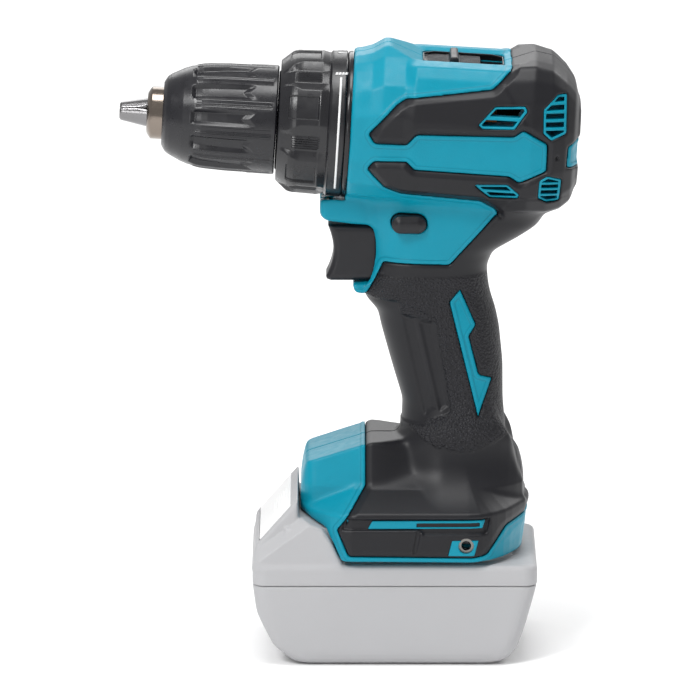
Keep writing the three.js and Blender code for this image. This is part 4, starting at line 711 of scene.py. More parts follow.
def skin_form(grid):
    """The whole outer skin, without the soft cover's height."""
    head = head_form(grid)
    handle = evened(handle_form(grid), grid.step)
    handle = meet(handle, grid.z - HANDLE_TOP, 2)
    handle = np.maximum(handle, HANDLE_FOOT - grid.z)
    flow = 4 + 16 * ramp(grid.x, 18, 38) * ramp(np.abs(grid.y), 5, 16)
    body = join(join(head, handle, 6.0), foot_form(grid), flow)
    lamp_low, lamp_high = extent("lamp_lens")
    front = lamp_low[0] - 0.2
    trigger_top, trigger_bottom = extent("trigger")[1][2], extent("trigger")[0][2]
    chin = rounded([
        (front, lamp_high[2] + 2), (front, lamp_low[2] + 0.5), (front + 2.5, lamp_low[2] - 1.8),
        (2, trigger_top + 0.6), (22, trigger_top - 0.6), (22, lamp_high[2] + 6),
        (0.4, lamp_high[2] + 6),
    ], 1.6)
    top = trigger_bottom - TRIGGER_DROP - 0.6
    lip = rounded([(1.2, top), (1.2, top - 1.6), (2.6, top - 3.4), (5, top - 4.4), (9, top - 3.4),
                   (14, top + 4), (14, top)], 0.8)
    body = join(body, slab(chin, CHIN_HALF, grid, 2.5), 2.5)
    return join(body, slab(lip, CHIN_HALF, grid, 2.0), 2.0)


def pad_edge(x, z):
    """Distance in the side view to the outer edge of the soft cover's pads."""
    u, v = to_head(x, z)
    return np.minimum(outline(rounded(HEAD_COVER, 1.0), u, v),
                      outline(rounded(GRIP_COVER, 1.0), x, z))


def cover_edge(x, z):
    """Distance in the side view to the soft cover's edge, negative inside the cover."""
    u, v = to_head(x, z)
    edge = np.maximum(pad_edge(x, z), -outline(rounded(GRIP_ISLAND, 0.6), x, z))
    for points in [REAR_ISLAND] + [[(x0 + a, b) for a, b in corners] for x0, corners, _, _ in VENTS]:
        edge = np.maximum(edge, -outline(rounded(points, 0.6), u, v))
    return edge


def room(grid, node, gap=0.4):
    """Space for a CAD node inside the shell."""
    low, high = extent(node)
    return box_field(low - gap, high + gap, grid.x, grid.y, grid.z)


def barrel(grid, front, rear, radius):
    """A cylinder about the head's axis."""
    u, v = to_head(grid.x, grid.z)
    return all_of(np.hypot(grid.y, v) - radius, front - u, u - rear)


BAY_HALF = 33.1
BAY_TOP = 56.2
BAY_REAR = 66
RAIL_TOP = 50
RAIL_HALF = 30.1
TRIGGER_TRAVEL = joint("trigger_pull")["range_m"][1] / MM
TRIGGER_DROP = 1.0  # how far the visible trigger reaches below its CAD node
TRIGGER_REACH = 0.6  # and in front of it
LEVER_GAP = 0.35


def battery_bay(grid):
    """What the battery's rails and raised head slide into, open to the front."""
    plan = [(-80, -BAY_HALF), (BAY_REAR - 14, -BAY_HALF), (BAY_REAR - 6, -BAY_HALF * 0.82),
            (BAY_REAR, -BAY_HALF * 0.54), (BAY_REAR, 10), (-80, 10)]
    inside = outline(plan, grid.x, grid.y)
    head = all_of(inside, RAIL_TOP - 1 - grid.z, grid.z - BAY_TOP)
    slide = all_of(np.abs(grid.y) - RAIL_HALF, grid.z - RAIL_TOP, inside)
    return np.minimum(head, slide)


def trigger_bay(grid):
    """Room for the trigger at every point of its travel."""
    low, high = extent("trigger")
    front = low - [6, 0.3, TRIGGER_DROP + 0.3]
    rear = high + [TRIGGER_TRAVEL + 2, 0.3, 0.3]
    return box_field(front, rear, grid.x, grid.y, grid.z)


def lever_side(grid):
    """Distance in the side view to the lever's outline, a bar with round ends."""
    low, high = extent("reverse_lever")
    middle, half = (low + high) / 2, (high - low) / 2
    along = np.maximum(np.abs(grid.x - middle[0]) - (half[0] - half[2]), 0)
    return np.hypot(along, grid.z - middle[2]) - half[2]


SLOT_FRONT = 27.5
SLOT_LENGTH = 32.5
SLOT_HALF = 12.5
SLOT_DEPTH = 4.7
SLOT_FLOOR = 0.5


def selector_recess(grid):
    """The dished opening on top of the head, with the selector's track under it."""
    u, v = to_head(grid.x, grid.z)
    end = SLOT_FRONT + SLOT_LENGTH
    mouth = meet(np.abs(u - (SLOT_FRONT + end) / 2) - SLOT_LENGTH / 2,
                 np.abs(grid.y) - SLOT_HALF, 3)
    opening = np.maximum(mouth, HEAD_TOP - SLOT_DEPTH - SLOT_FLOOR - v)
    dish = np.maximum(mouth - 2.6 * (v - HEAD_TOP + 1.6), HEAD_TOP - 1.6 - v)
    front = reach("speed_selector")[0]
    track = np.maximum(np.abs(u - (front + end + 3) / 2) - (end + 3.6 - front) / 2,
                       np.abs(grid.y) - SLOT_HALF - 1.7)
    track = np.maximum(track, np.abs(v - HEAD_TOP + SLOT_DEPTH - 1.15) - 1.15)
    return np.minimum(np.minimum(opening, dish), track)


def vent_windows(grid):
    """Openings in the shell behind the vents."""
    u, v = to_head(grid.x, grid.z)
    field = np.full(np.broadcast(u, v).shape, 99.0, np.float32)
    for x0, corners, _, _ in VENTS:
        field = np.minimum(field, outline([(x0 + a, b) for a, b in corners], u, v) + VENT_RIM)
    return np.maximum(field, 16 - np.abs(grid.y))


def hollows(grid):
    """Every space inside the shell, as one field."""
    fan_rear = reach("cooling_fan")[1]
    motor_radius = max(reach("motor_stator")[2], reach("gear_case")[2])
    bearing_front, bearing_rear, bearing_radius = reach("rear_motor_bearing")
    spaces = [
        barrel(grid, -1, fan_rear + 1.5, motor_radius + 0.4),
        barrel(grid, bearing_front - 1, bearing_rear + 0.4, bearing_radius + 0.3),
        barrel(grid, -60, -0.3, reach("torque_collar")[2] + 0.6),
        trigger_bay(grid), lever_side(grid) - LEVER_GAP, selector_recess(grid), battery_bay(grid),
    ]
    nodes = ["switch_module", "control_board", "terminal_block", "lamp_lens", "lamp_board",
             "positive_lead", "negative_lead"]
    spaces += [room(grid, node) for node in nodes]
    spaces.append(np.maximum(handle_form(grid) + HANDLE_WALL,
                             np.abs(grid.z - HOLLOW_MIDDLE) - HOLLOW_HALF))
    low, high = extent("left_insert_nut")
    middle, radius = (low + high) / 2, (high - low)[0] / 2 + 0.2
    spaces.append(np.maximum(np.hypot(grid.x - middle[0], grid.z - middle[2]) - radius,
                             grid.y - high[1] - 1))
    field = spaces[0]
    for space in spaces[1:]:
        field = np.minimum(field, space)
    return field


def relief(x, z):
    """How far the soft cover stands out of the skin, over the side view."""
    u, v = to_head(x, z)
    on_head = ramp(z, 172, 186) * (1 - ramp(u, REAR - 10, REAR - 2))
    pad = PAD_RISE + (HEAD_PAD_RISE - PAD_RISE) * on_head
    rise = -0.35 + 0.35 * part_way(-cover_edge(x, z), 0.7) + pad * part_way(-pad_edge(x, z), 2.4)
    for points, height, bevel in TOOL_RELIEF:
        rise = rise + height * part_way(-outline(points, x, z), bevel)
    for points, height, bevel in HEAD_RELIEF:
        rise = rise + height * part_way(-outline(points, u, v), bevel)
    highest = COVER_PROUD + (HEAD_PAD_RISE + 0.4 - COVER_PROUD) * on_head
    return np.clip(rise, 0.35 - COVER_DEPTH, highest)


# Outlines in the side view, each with a height and the width of its bevel.
TOOL_RELIEF = [
    # foot: a channel over two blocks, with a slanted gap between them, and the insert's square
    ([(-2.5, 61.6), (56.6, 61.6), (55.0, 54.7), (29.6, 54.7), (27.6, 56.4), (-3.6, 56.4)], -1.4, 0.7),
    ([(40.7, 52.8), (51.9, 52.8), (50.1, 46.0), (39.0, 46.0)], -0.6, 0.3),
    ([(26.6, 56.6), (28.8, 56.6), (26.8, 46.9), (24.6, 46.9)], -0.7, 0.6),
    # grip: the smooth front panel, and two channels in it
    ([(5, 147), (21, 145.5), (33.4, 140.2), (35.1, 138.5), (41.1, 101.4), (39.5, 99.3), (30.6, 94.8),
      (5, 94.8)], -0.5, 0.6),
    ([(20.2, 141), (26.2, 138.9), (34.7, 101.4), (29.8, 98.1)], -0.7, 1.2),
    ([(27.4, 138.1), (33.4, 137.3), (39.7, 103), (35.9, 100.5)], -0.7, 1.0),
    # grip: the ledge under the coloured shell
    ([(8, 190), (96, 190), (96, 157.6), (46, 155.6), (36, 156.2), (10, 156.4)], 0.35, 0.7),
]
PINHOLE_U = REAR - 8.4
HEAD_RELIEF = [
    # the pinhole in the cover, between the side panel and the rear
    ([(PINHOLE_U + 0.9 * math.cos(a), -3.0 + 0.9 * math.sin(a)) for a in np.linspace(0, 5.5, 8)],
     -0.9, 0.3),
    # the plate on the side, before the head turns in to the rear
    ([(8, 20), (8, -30), (60, -30), (66, -21), (70.5, -14), (70.5, 10), (66, 17), (60, 26), (50, 26)],
     0.35, 1.2),
]


def shell_and_cover():
    """The two housing halves and their soft covers."""
    grid = GRID
    skin = skin_form(grid)
    spaces = hollows(grid)
    x, z = grid.x[:, 0, :], grid.z[0, :, :]
    edge = cover_edge(x, z)[:, None, :]
    rise = relief(x, z)[:, None, :].astype(np.float32)
    rim = 0.3 * (1 - ramp(edge, 1.5, 2.1))
    pocket = np.maximum(edge - 0.12, -(skin + COVER_DEPTH))
    shell = meet(skin - rim, -pocket, 0.4)
    shell = meet(shell, -np.minimum(spaces, vent_windows(grid)), 0.5)
    cover = meet(skin - rise, edge + 0.04, 0.3)
    cover = np.maximum(cover, -(skin + COVER_DEPTH - 0.06))
    cover = np.maximum(meet(cover, -spaces, 0.4), FOOT_RIM - grid.z)
    for name, field, finish, slot in (("housing", shell, TEAL, "teal_shell"),
                                      ("grip_cover", cover, RUBBER, "soft_cover")):
        points, faces = grid.net(meet(field, grid.y + 0.04, 0.5))
        for obj in both_sides(f"{name}_skin", points, faces, finish, "tool", slot, name):
            note(obj, "edge", cover_edge(points[:, 0], points[:, 2]))
            note(obj, "grain", grip_grain(points[:, 0], points[:, 2]))
    return skin


GRIP_SMOOTH = [(19, 146.1), (20.6, 140.5), (34.3, 137.4), (40.7, 100.4), (30.3, 96.8), (30.2, 94.6),
               (0, 94), (0, 146)]


def grip_grain(x, z):
    """1 where the cover is pebbled, 0 where it is smooth."""
    above = ramp(z - (84 + 0.02 * (x - 45) ** 2), 0, 2)
    below = 1 - ramp(z, 154.5, 156.5)
    smooth = ramp(outline(GRIP_SMOOTH, x, z), -0.6, 0.4)
    return above * below * smooth


class Side:
    """How far the tool's skin stands out sideways, read from the body's field."""

    def __init__(self, skin, grid):
        inside = skin < 0
        first = np.maximum(np.argmax(inside, axis=1), 1)
        i, k = np.indices(first.shape)
        a, b = skin[i, first - 1, k], skin[i, first, k]
        share = np.clip(a / np.where(a == b, 1, a - b), 0, 1)
        y = grid.y.ravel()
        self.table = -(y[first - 1] + share * grid.step)
        self.table[~inside.any(axis=1)] = 0
        self.grid = grid

    def at(self, x, z):
        low, step = self.grid.low, self.grid.step
        return lookup(self.table, (x - low[0]) / step + 0 * z, (z - low[2]) / step + 0 * x)


INLAY_STEP, INLAY_BEVEL = 0.25, 0.35


def inlay(name, surface, points, holes, finish, slot, proud, depth, on_head=True):
    """A plate that follows the tool's skin, on both sides, with holes given as a field."""
    corners = np.array([to_tool(*p) if on_head else p for p in points])
    low, high = corners.min(0) - 1, corners.max(0) + 1
    xs, zs = np.linspace(low[0], high[0], 24), np.linspace(low[1], high[1], 24)
    inside = outline(corners, xs[:, None], zs[None, :]) < 0.5
    out = surface.at(xs[:, None], zs[None, :])[inside]
    grid = Grid((low[0], -out.max() - proud - 1, low[1]),
                (high[0], -out.min() + depth + 1, high[1]), INLAY_STEP)
    x, z = grid.x[:, 0, :], grid.z[0, :, :]
    u, v = to_head(x, z) if on_head else (x + 0 * z, z + 0 * x)
    edge = meet(outline(points, u, v), -holes(u, v), 0.2)
    height = -grid.y - surface.at(x, z)[:, None, :]
    field = meet(edge[:, None, :] + 0 * height, height - proud, INLAY_BEVEL)
    field = np.maximum(field, -height - depth)
    mesh_points, faces = grid.net(field)
    both_sides(name, mesh_points, faces, finish, "tool", slot)


def vents(surface):
    """Teal vent frames with ribs across them."""
    for number, (x0, corners, ribs, half_rib) in enumerate(VENTS, 1):
        corners = [(x0 + a, b) for a, b in corners]
        levels = [99, *ribs, -99]
        bands = [(below + half_rib, above - half_rib) for above, below in zip(levels, levels[1:])]

        def slots(u, v, corners=corners, bands=bands):
            window = outline(corners, u, v) + VENT_RIM
            open_at = np.min([np.maximum(low - v, v - high) for low, high in bands], axis=0)
            return np.maximum(window, open_at)

        inlay(f"vent_{number}", surface, rounded(corners, 0.6), slots, INLAY, "teal_shell",
              1.3, 3.4)


def circle(x, z, radius, count=16):
    turn = np.linspace(0, 2 * np.pi, count, endpoint=False)
    return [(x + radius * math.cos(a), z + radius * math.sin(a)) for a in turn]


def foot_inlays(surface):
    """The coloured strip with its dark slot, and the coloured square round the thread insert."""
    strip = [(7.1, 57.3), (9.0, 60.6), (54.2, 60.8), (53.1, 57.5)]
    slot_in_strip = [(26.7, 58.0), (26.7, 59.6), (52.0, 59.7), (52.0, 58.1)]
    inlay("foot_strip", surface, rounded(strip, 0.3), lambda x, z: outline(slot_in_strip, x, z), INLAY,
          "teal_shell", 0.15, 1.6, on_head=False)
    low, high = extent("left_insert_nut")
    middle, radius = (low + high) / 2, (high[0] - low[0]) / 2
    square = [(40.9, 52.6), (51.6, 52.6), (49.9, 46.2), (39.3, 46.2)]
    hole = circle(middle[0], middle[2], radius)
    inlay("foot_square", surface, rounded(square, 0.3), lambda x, z: outline(hole, x, z), INLAY,
          "teal_shell", 0.6, 1.8, on_head=False)


# ------------------------------------------------------------- chuck, collar

SLEEVE_FLUTES = 12
COLLAR_PADS = 6
PAD_TURN = 67.5


def from_nearest(columns, count, first):
    """Each column's angle round the axis from the nearest of some even places."""
    angle = np.degrees(np.linspace(0, 2 * np.pi, columns, endpoint=False))[None, :]
    period = 360 / count
    return np.abs((angle - first + period / 2) % period - period / 2)


def profile(along, stations):
    """A radius at some distances, from a list of (distance, radius) places."""
    return np.interp(along, *zip(*stations))


def revolve(name, u, outer, bore, finish, body, slot, replaced, columns, sharp=32):
    """A solid turned about the head's axis: an outer surface and a plain bore."""
    around = np.zeros((1, columns))
    all_u = np.concatenate([u, [p[0] for p in bore]])[:, None] + around
    all_r = np.concatenate([outer + around, np.array([p[1] for p in bore])[:, None] + around])
    return piece(name, *ring_mesh(all_u, all_r), finish, body, slot, replaced, sharp)


# The sleeve, in millimetres: along it from its front, and across from a flute's middle.
FLUTE_TURN = 20.5  # where the first flute is, in degrees
FLUTE_FLOOR, FLUTE_LIP, FLUTE_DEEP = 2.0, 3.4, 1.6
FLUTE_START, FLUTE_END = 11.2, 34.8
RIB_PITCH, RIB_HIGH = 0.62, 0.18
SLEEVE_BORE = 13.0


def chuck_sleeve():
    """The gripping sleeve: hollow flutes with flat floors between finely ribbed bands."""
    front, rear, radius = reach("chuck_sleeve")
    length = rear - front
    columns = 480
    u = np.concatenate([front + np.array([0, 0.15, 0.4, 0.8, 1.1, 1.4]),
                        np.linspace(front + 1.8, rear - 0.6, 180), [rear - 0.3, rear]])
    along = (u - front)[:, None]
    smooth = profile(along, [
        (0, 12.6), (0.3, 13.2), (0.9, 14.2), (1.5, 15.1), (3, 16.2), (8, 18.7),
        (13.6, radius - 1.3), (15.5, radius - 0.9), (18, radius - 0.65), (26, radius - 0.25),
        (length - 0.6, radius - 0.05), (length, radius - 0.6)])
    across = from_nearest(columns, SLEEVE_FLUTES, FLUTE_TURN) * radius * np.pi / 180
    end = FLUTE_END + 0.95 * across
    depth = part_way(FLUTE_LIP - across, FLUTE_LIP - FLUTE_FLOOR)
    depth = depth * (1.15 - 0.02 * np.clip(along - 12, 0, 24))
    depth = depth * part_way(along - FLUTE_START, 1.8) * part_way(end - along, 3.2)
    band = part_way(across - FLUTE_LIP - 0.1, 0.25) * part_way(along - 12.6, 0.8)
    band = band * part_way(length - 1.2 - along, 0.8)
    ribs = 0.5 + 0.5 * np.cos((across - FLUTE_LIP) / RIB_PITCH * 2 * np.pi)
    outer = smooth - FLUTE_DEEP * depth - RIB_HIGH * ribs * band
    bore = [(rear, SLEEVE_BORE), (rear - 1.6, SLEEVE_BORE), (rear - 1.6, 17.8), (-64.8, 17.8),
            (-64.8, 14.5), (-70.2, 14.5), (-70.2, SLEEVE_BORE), (front + 4, 12.9), (front, 11.6)]
    revolve("chuck_sleeve_grip", u, outer, bore, SLEEVE, "sleeve", "black_plastic",
            ["chuck_sleeve"], columns, 24)


# The collar: across in degrees from a pad's middle, along in millimetres from its front.
PAD_EDGE, PAD_END, PAD_HIGH = 23.2, 20.8, 1.75
WINDOW_EDGE, WINDOW_FRONT, WINDOW_END, WINDOW_DEEP = 9.7, 3.8, 16.0, 0.75
COLLAR_BORE, COLLAR_NOSE_BORE = 22.6, 14.9


def torque_collar():
    """The clutch collar: raised pads with windows, fine ribs between them, a smooth band behind."""
    front, rear, radius = reach("torque_collar")
    length = rear - front
    columns = 720
    lip = 0.55
    u = np.concatenate([[front - lip, front - lip, front, front],
                        np.linspace(front + 0.3, rear - 0.4, 126), [rear - 0.15, rear]])
    along = (u - front)[:, None]
    base = profile(along, [
        (0, radius - 6.4), (0.4, radius - 5.8), (5.6, radius - 3.7), (7, radius - 3.4),
        (16, radius - 3.1), (19.6, radius - 2.5), (20.4, radius - 1.25),
        (length - 0.5, radius - 0.95), (length, radius - 1.3)])
    across = from_nearest(columns, COLLAR_PADS, PAD_TURN)
    slack = part_way(along - 3, 6)
    pad = part_way(PAD_EDGE - across, 3.0 + 5.6 * slack)
    pad = pad * part_way(along - 0.6, 4.0) * part_way(PAD_END - along, 4.2)
    window = part_way(WINDOW_EDGE - across, 0.5) * part_way(along - WINDOW_FRONT, 0.5)
    window = window * part_way(WINDOW_END - along, 0.5)
    ribbed = part_way(across - 24.2, 0.5) * part_way(along - 5.2, 1) * part_way(17 - along, 1)
    ribs = 0.5 + 0.5 * np.cos(np.radians(across * 180 / 1.0))
    outer = base + PAD_HIGH * pad - WINDOW_DEEP * window + 0.35 * ribbed * ribs
    outer = np.minimum(outer, radius - 0.04)
    outer[:3] = np.array([COLLAR_NOSE_BORE, 19.4, 20.0])[:, None]
    bore = [(rear, COLLAR_BORE), (front + 3.8, COLLAR_BORE), (front + 3.8, COLLAR_NOSE_BORE)]
    revolve("torque_collar_grip", u, outer, bore, COLLAR, "collar", "black_plastic",
            ["torque_collar"], columns, 24)


def wrapped(name, outline_sets, finish):
    """Flat outlines laid round the collar's rear band: degrees from the top, and millimetres."""
    _, _, radius = reach("torque_collar")
    points, faces = [], []
    for corners in outline_sets:
        start = len(points)
        for layer in (radius - 1.2, radius - 0.88):
            for turn, u in corners:
                x, z = to_tool(u, layer * math.cos(math.radians(turn)))
                points.append((x, -layer * math.sin(math.radians(turn)), z))
        count = len(corners)
        for k in range(count // 2 - 1):
            a, b, c, d = k, k + 1, count - 2 - k, count - 1 - k
            faces.append([start + i for i in (a, b, c, d)])
            faces.append([start + count + i for i in (d, c, b, a)])
        for k in range(count):
            n = (k + 1) % count
            faces.append([start + i for i in (n, k, k + count, n + count)])
    return piece(name, points, faces, finish, "collar", "white_button")


def strip_outline(start, end, u0, u1, steps):
    """A strip round the axis, for wrapped()."""
    turns = np.linspace(start, end, steps)
    return [(t, u0) for t in turns] + [(t, u1) for t in turns[::-1]]


# Strokes of the digits on a grid 2 wide and 4 high: lines between (x, y) places.
DIGITS = {
    "0": [(0, 0, 2, 0), (2, 0, 2, 4), (2, 4, 0, 4), (0, 4, 0, 0)],
    "1": [(1, 0, 1, 4), (1, 4, 0.3, 3.2)],
    "2": [(0, 4, 2, 4), (2, 4, 2, 2), (2, 2, 0, 2), (0, 2, 0, 0), (0, 0, 2, 0)],
    "3": [(0, 4, 2, 4), (2, 4, 2, 0), (2, 0, 0, 0), (0.4, 2, 2, 2)],
    "4": [(0, 4, 0, 2), (0, 2, 2, 2), (2, 4, 2, 0)],
    "5": [(2, 4, 0, 4), (0, 4, 0, 2), (0, 2, 2, 2), (2, 2, 2, 0), (2, 0, 0, 0)],
    "6": [(2, 4, 0, 4), (0, 4, 0, 0), (0, 0, 2, 0), (2, 0, 2, 2), (2, 2, 0, 2)],
    "7": [(0, 4, 2, 4), (2, 4, 1, 0)],
    "8": [(0, 0, 2, 0), (2, 0, 2, 4), (2, 4, 0, 4), (0, 4, 0, 0), (0, 2, 2, 2)],
    "9": [(2, 2, 0, 2), (0, 2, 0, 4), (0, 4, 2, 4), (2, 4, 2, 0), (2, 0, 0, 0)],
}


def stroke(x0, y0, x1, y1, width):
    """A line as a rectangle with its ends carried out by half its width."""
    length = math.hypot(x1 - x0, y1 - y0)
    dx, dy = (x1 - x0) / length * width / 2, (y1 - y0) / length * width / 2
    return [(x0 - dx - dy, y0 - dy + dx), (x1 + dx - dy, y1 + dy + dx),
            (x1 + dx + dy, y1 + dy - dx), (x0 - dx + dy, y0 - dy - dx)]


def collar_print():
    """The mark line, a drill symbol and plain numbers round the collar."""
    _, rear, radius = reach("torque_collar")
    per_mm = 180 / math.pi / radius
    middle = rear - 2.4
    first, pitch, size, digit_pitch, line = 3.4, 15.6, 0.78, 3.1, 0.75
    outlines = [strip_outline(40, 141.5, middle - 0.42, middle + 0.42, 60)]
    for k in range(4):
        turn = 37.6 - 0.2 * k
        u = middle - 1.9 + 1.25 * k
        outlines.append([(turn, u - 0.55), (turn, u + 0.55), (turn - 2.2, u + 0.85),
                         (turn - 2.6, u - 0.1)])
    for number in range(1, 13):
        place = first - pitch * (number - 1)
        word = str(number)
        for index, digit in enumerate(word):
            shift = (index - (len(word) - 1) / 2) * digit_pitch
            for x0, y0, x1, y1 in DIGITS[digit]:
                box = stroke(x0 - 1 + shift, y0 - 2, x1 - 1 + shift, y1 - 2, line)
                outlines.append([(place - x * size * per_mm, middle + 0.2 - y * size)
                                 for x, y in box])
    wrapped("collar_numbers", outlines, PRINT)


def front_ring():
    """The glossy ring between the collar and the shell."""
    rear = reach("front_ring")[1]
    _, collar_rear, radius = reach("torque_collar")
    front = collar_rear + 0.12
    case = extent("gear_case")
    inner = (case[1][1] - case[0][1]) / 2 + 0.3
    u = front + np.array([0, 0.2, 0.5, 1.2, rear - front])
    outer = radius - np.array([1.9, 1.4, 1.1, 0.9, 0.9])[:, None]
    revolve("front_ring_gloss", u, outer, [(rear, inner), (front, inner)], GLOSS_BLACK, "tool",
            "black_plastic", ["front_ring"], 128)


JAW_TIP, JAW_OFFSET, JAW_LEAN = -92.55, 0.87, 0.2493
ROD = 3.15
ROD_WIDE = 4.3
JAWS = [("chuck_jaw_1", "jaw_1", 0), ("chuck_jaw_2", "jaw_2", 120), ("chuck_jaw_3", "jaw_3", -120)]


def rod_field(u, across, out, radius):
    """Distance to a jaw's leaning rod: out is radial, across is sideways."""
    centre = JAW_OFFSET + JAW_LEAN * (u - JAW_TIP)
    return np.hypot(across, (out - centre) * 0.97) - radius


def turned(points, degrees):
    """Points in head coordinates (u, sideways, up), turned and put in the tool's frame."""
    angle = math.radians(degrees)
    u, y, v = points.T
    side, up = y * math.cos(angle) - v * math.sin(angle), y * math.sin(angle) + v * math.cos(angle)
    x, z = to_tool(u, up)
    return np.stack([x, side, z], 1)


def head_piece(name, grid, field, finish, body, slot, replaced=(), sharp=None):
    """A piece whose grid lies along the head's axis."""
    points, faces = grid.net(field)
    return piece(name, turned(points, 0), faces, finish, body, slot, replaced, sharp)


def chuck_jaws():
    """Three jaws: a cone split in three in front, and leaning rods behind."""
    nose = reach("chuck_body")[0]
    rear = reach("chuck_jaw_1")[1]
    grid = Grid((JAW_TIP - 0.6, -5, -1), (rear + 1, 5, 13.5), 0.22)
    u, y, v = grid.x, grid.y, grid.z
    radius = ROD_WIDE - (ROD_WIDE - ROD) * ramp(u, nose - 0.5, nose + 3)
    field = rod_field(u, y, v, radius)
    cone = np.hypot(y, v) - profile(u, [(JAW_TIP, 3.0), (JAW_TIP + 0.7, 3.7), (nose, 5.75),
                                        (nose + 4, 7.2), (rear + 2, 14.2)])
    field = meet(field, cone, 0.3)
    sector = np.abs(y) * 0.5 - v * 0.866 + 0.13
    field = meet(field, sector, 0.25)
    field = meet(field, JAW_TIP - u, 0.3)
    field = np.maximum(field, u - rear + 0.4)
    points, faces = grid.net(field)
    for node, body, degrees in JAWS:
        piece(f"{body}_steel", turned(points, degrees), faces, STEEL, body, "bright_steel",
              [node], 40)


def chuck_nose():
    """The chuck's steel body with a leaning hole for each jaw, and the plated ring on its nose."""
    front, rear, radius = reach("chuck_body")
    nose = 10.5
    outer = [(front, 7.5), (front + 0.15, 8.2), (front + 1.1, 9.7), (front + 1.5, 10.2),
             (front + 1.9, nose), (front + 5.2, nose + 0.05), (front + 7.2, nose + 0.05)]
    u = np.array([p[0] for p in outer])
    radii = np.array([p[1] for p in outer])[:, None]
    bore = [(front + 7.2, 7.2 + JAW_LEAN * 7.2), (front + 0.3, 7.25), (front, 7.3)]
    revolve("chuck_nose_ring", u, radii, bore, NICKEL, "chuck", "bright_steel", [], 128, 28)
    start = front + 7.3
    grid = Grid((start - 1, -radius - 1, -radius - 1), (rear + 1, radius + 1, radius + 1), 0.5)
    gu, y, v = grid.x, grid.y, grid.z
    around = np.hypot(y, v)
    wall = profile(gu, [(start, 11.0), (start + 9, 11.3), (start + 9.6, radius - 0.05),
                        (rear, radius - 0.05)])
    field = meet(around - wall, start - gu, 0.4)
    field = np.maximum(field, gu - rear)
    field = np.maximum(field, -np.maximum(around - 6.25, reach("spindle")[0] - 0.5 - gu))
    for _, _, degrees in JAWS:
        angle = math.radians(degrees)
        across = y * math.cos(angle) + v * math.sin(angle)
        out = -y * math.sin(angle) + v * math.cos(angle)
        field = np.maximum(field, -rod_field(gu, across, out, ROD_WIDE + 0.35))
    field = np.maximum(field, -np.maximum(around - 7.3 - JAW_LEAN * (gu - front), gu - start - 4))
    head_piece("chuck_body_steel", grid, field, STEEL, "chuck", "bright_steel", ["chuck_body"], 40)


# ---------------------------------------------------------------- small parts


def speed_selector():
    """The sliding selector: a flat plate with lengthwise ridges and a cross rib to push."""
    front, rear, _ = reach("speed_selector")
    half = extent("speed_selector")[1][1]
    floor = HEAD_TOP - SLOT_DEPTH + 0.1
    top = floor + 1.7
    grid = Grid((front - 1, -half - 1, floor - 1), (rear + 1, half + 1, HEAD_TOP + 2), 0.3)
    u, y, v = grid.x, np.abs(grid.y), grid.z
    ridges = 0.35 * (0.5 + 0.5 * np.cos(y * 2 * np.pi / 2.6)) * ramp(u, front + 4, front + 5)
    plate = all_of(np.abs(u - (front + rear) / 2) - (rear - front) / 2, y - half,
                   floor - v, v - top - ridges)
    rib, rib_half = 40.0, 2.3
    sides = np.abs(u - rib) - rib_half + 0.16 * (v - floor)
    push = meet(meet(sides + 0 * y, y - SLOT_HALF + 1.6, 0.8), v - HEAD_TOP - 0.55, 0.9)
    push = np.maximum(push, floor - v)
    head_piece("speed_selector_slide", grid, join(plate, push, 1.0), BLACK, "selector",
               "black_plastic", ["speed_selector"])


def selector_surround():
    """The dark floor under the selector, and the dark rim of its opening."""
    end = SLOT_FRONT + SLOT_LENGTH
    floor = HEAD_TOP - SLOT_DEPTH - SLOT_FLOOR
    rim = HEAD_TOP - 1.7
    grid = Grid((SLOT_FRONT - 4, -SLOT_HALF - 2.4, floor - 0.5),
                (end + 4.4, SLOT_HALF + 2.4, rim + 0.6), 0.2)
    u, y, v = grid.x, np.abs(grid.y), grid.z
    corner = (np.abs(u - (SLOT_FRONT + end) / 2) - SLOT_LENGTH / 2 + y - SLOT_HALF + 4.5) / 1.41
    inside = meet(np.abs(u - (SLOT_FRONT + end) / 2) - SLOT_LENGTH / 2, y - SLOT_HALF, 2.0)
    inside = np.maximum(inside, corner) + 0.06
    plate = all_of(inside, floor + 0.05 - v, v - floor - 0.4)
    wall = all_of(inside, -inside - 0.6, floor + 2.6 - v, v - rim)
    front = reach("speed_selector")[0]
    length_gap = np.abs(u - (front + end + 3) / 2) - (end + 3.3 - front) / 2
    beside = y - SLOT_HALF - 1.6
    liner = all_of(beside, length_gap, -np.maximum(beside + 0.32, length_gap + 0.32),
                   floor + 0.05 - v, v - floor - 2.7)
    wide = all_of(beside, length_gap, floor + 0.05 - v, v - floor - 0.35)
    field = np.minimum(np.minimum(plate, wall), np.minimum(liner, wide))
    head_piece("selector_surround", grid, field, GLOSS_BLACK, "tool", "black_plastic")


def block_piece(name, node, finish, body, slot, edge, step=0.35):
    """A CAD block with rounded edges in its place."""
    low, high = extent(node)
    grid = Grid(low - 1, high + 1, step)
    middle, half = (low + high) / 2, (high - low) / 2
    away = [np.abs(p - m) - h for p, m, h in zip((grid.x, grid.y, grid.z), middle, half)]
    field = meet(away[0] + 0 * away[1], away[1] + 0 * away[2], edge)
    field = meet(field, away[2] + 0 * away[0], edge)
    return piece(name, *grid.net(field), finish, body, slot, [node])


def bezier(corners, count):
    """Points along a cubic curve with four control points."""
    return [tuple((1 - s) ** 3 * a + 3 * s * (1 - s) ** 2 * b + 3 * s * s * (1 - s) * c + s ** 3 * d
                  for a, b, c, d in zip(*corners)) for s in np.linspace(0, 1, count)]


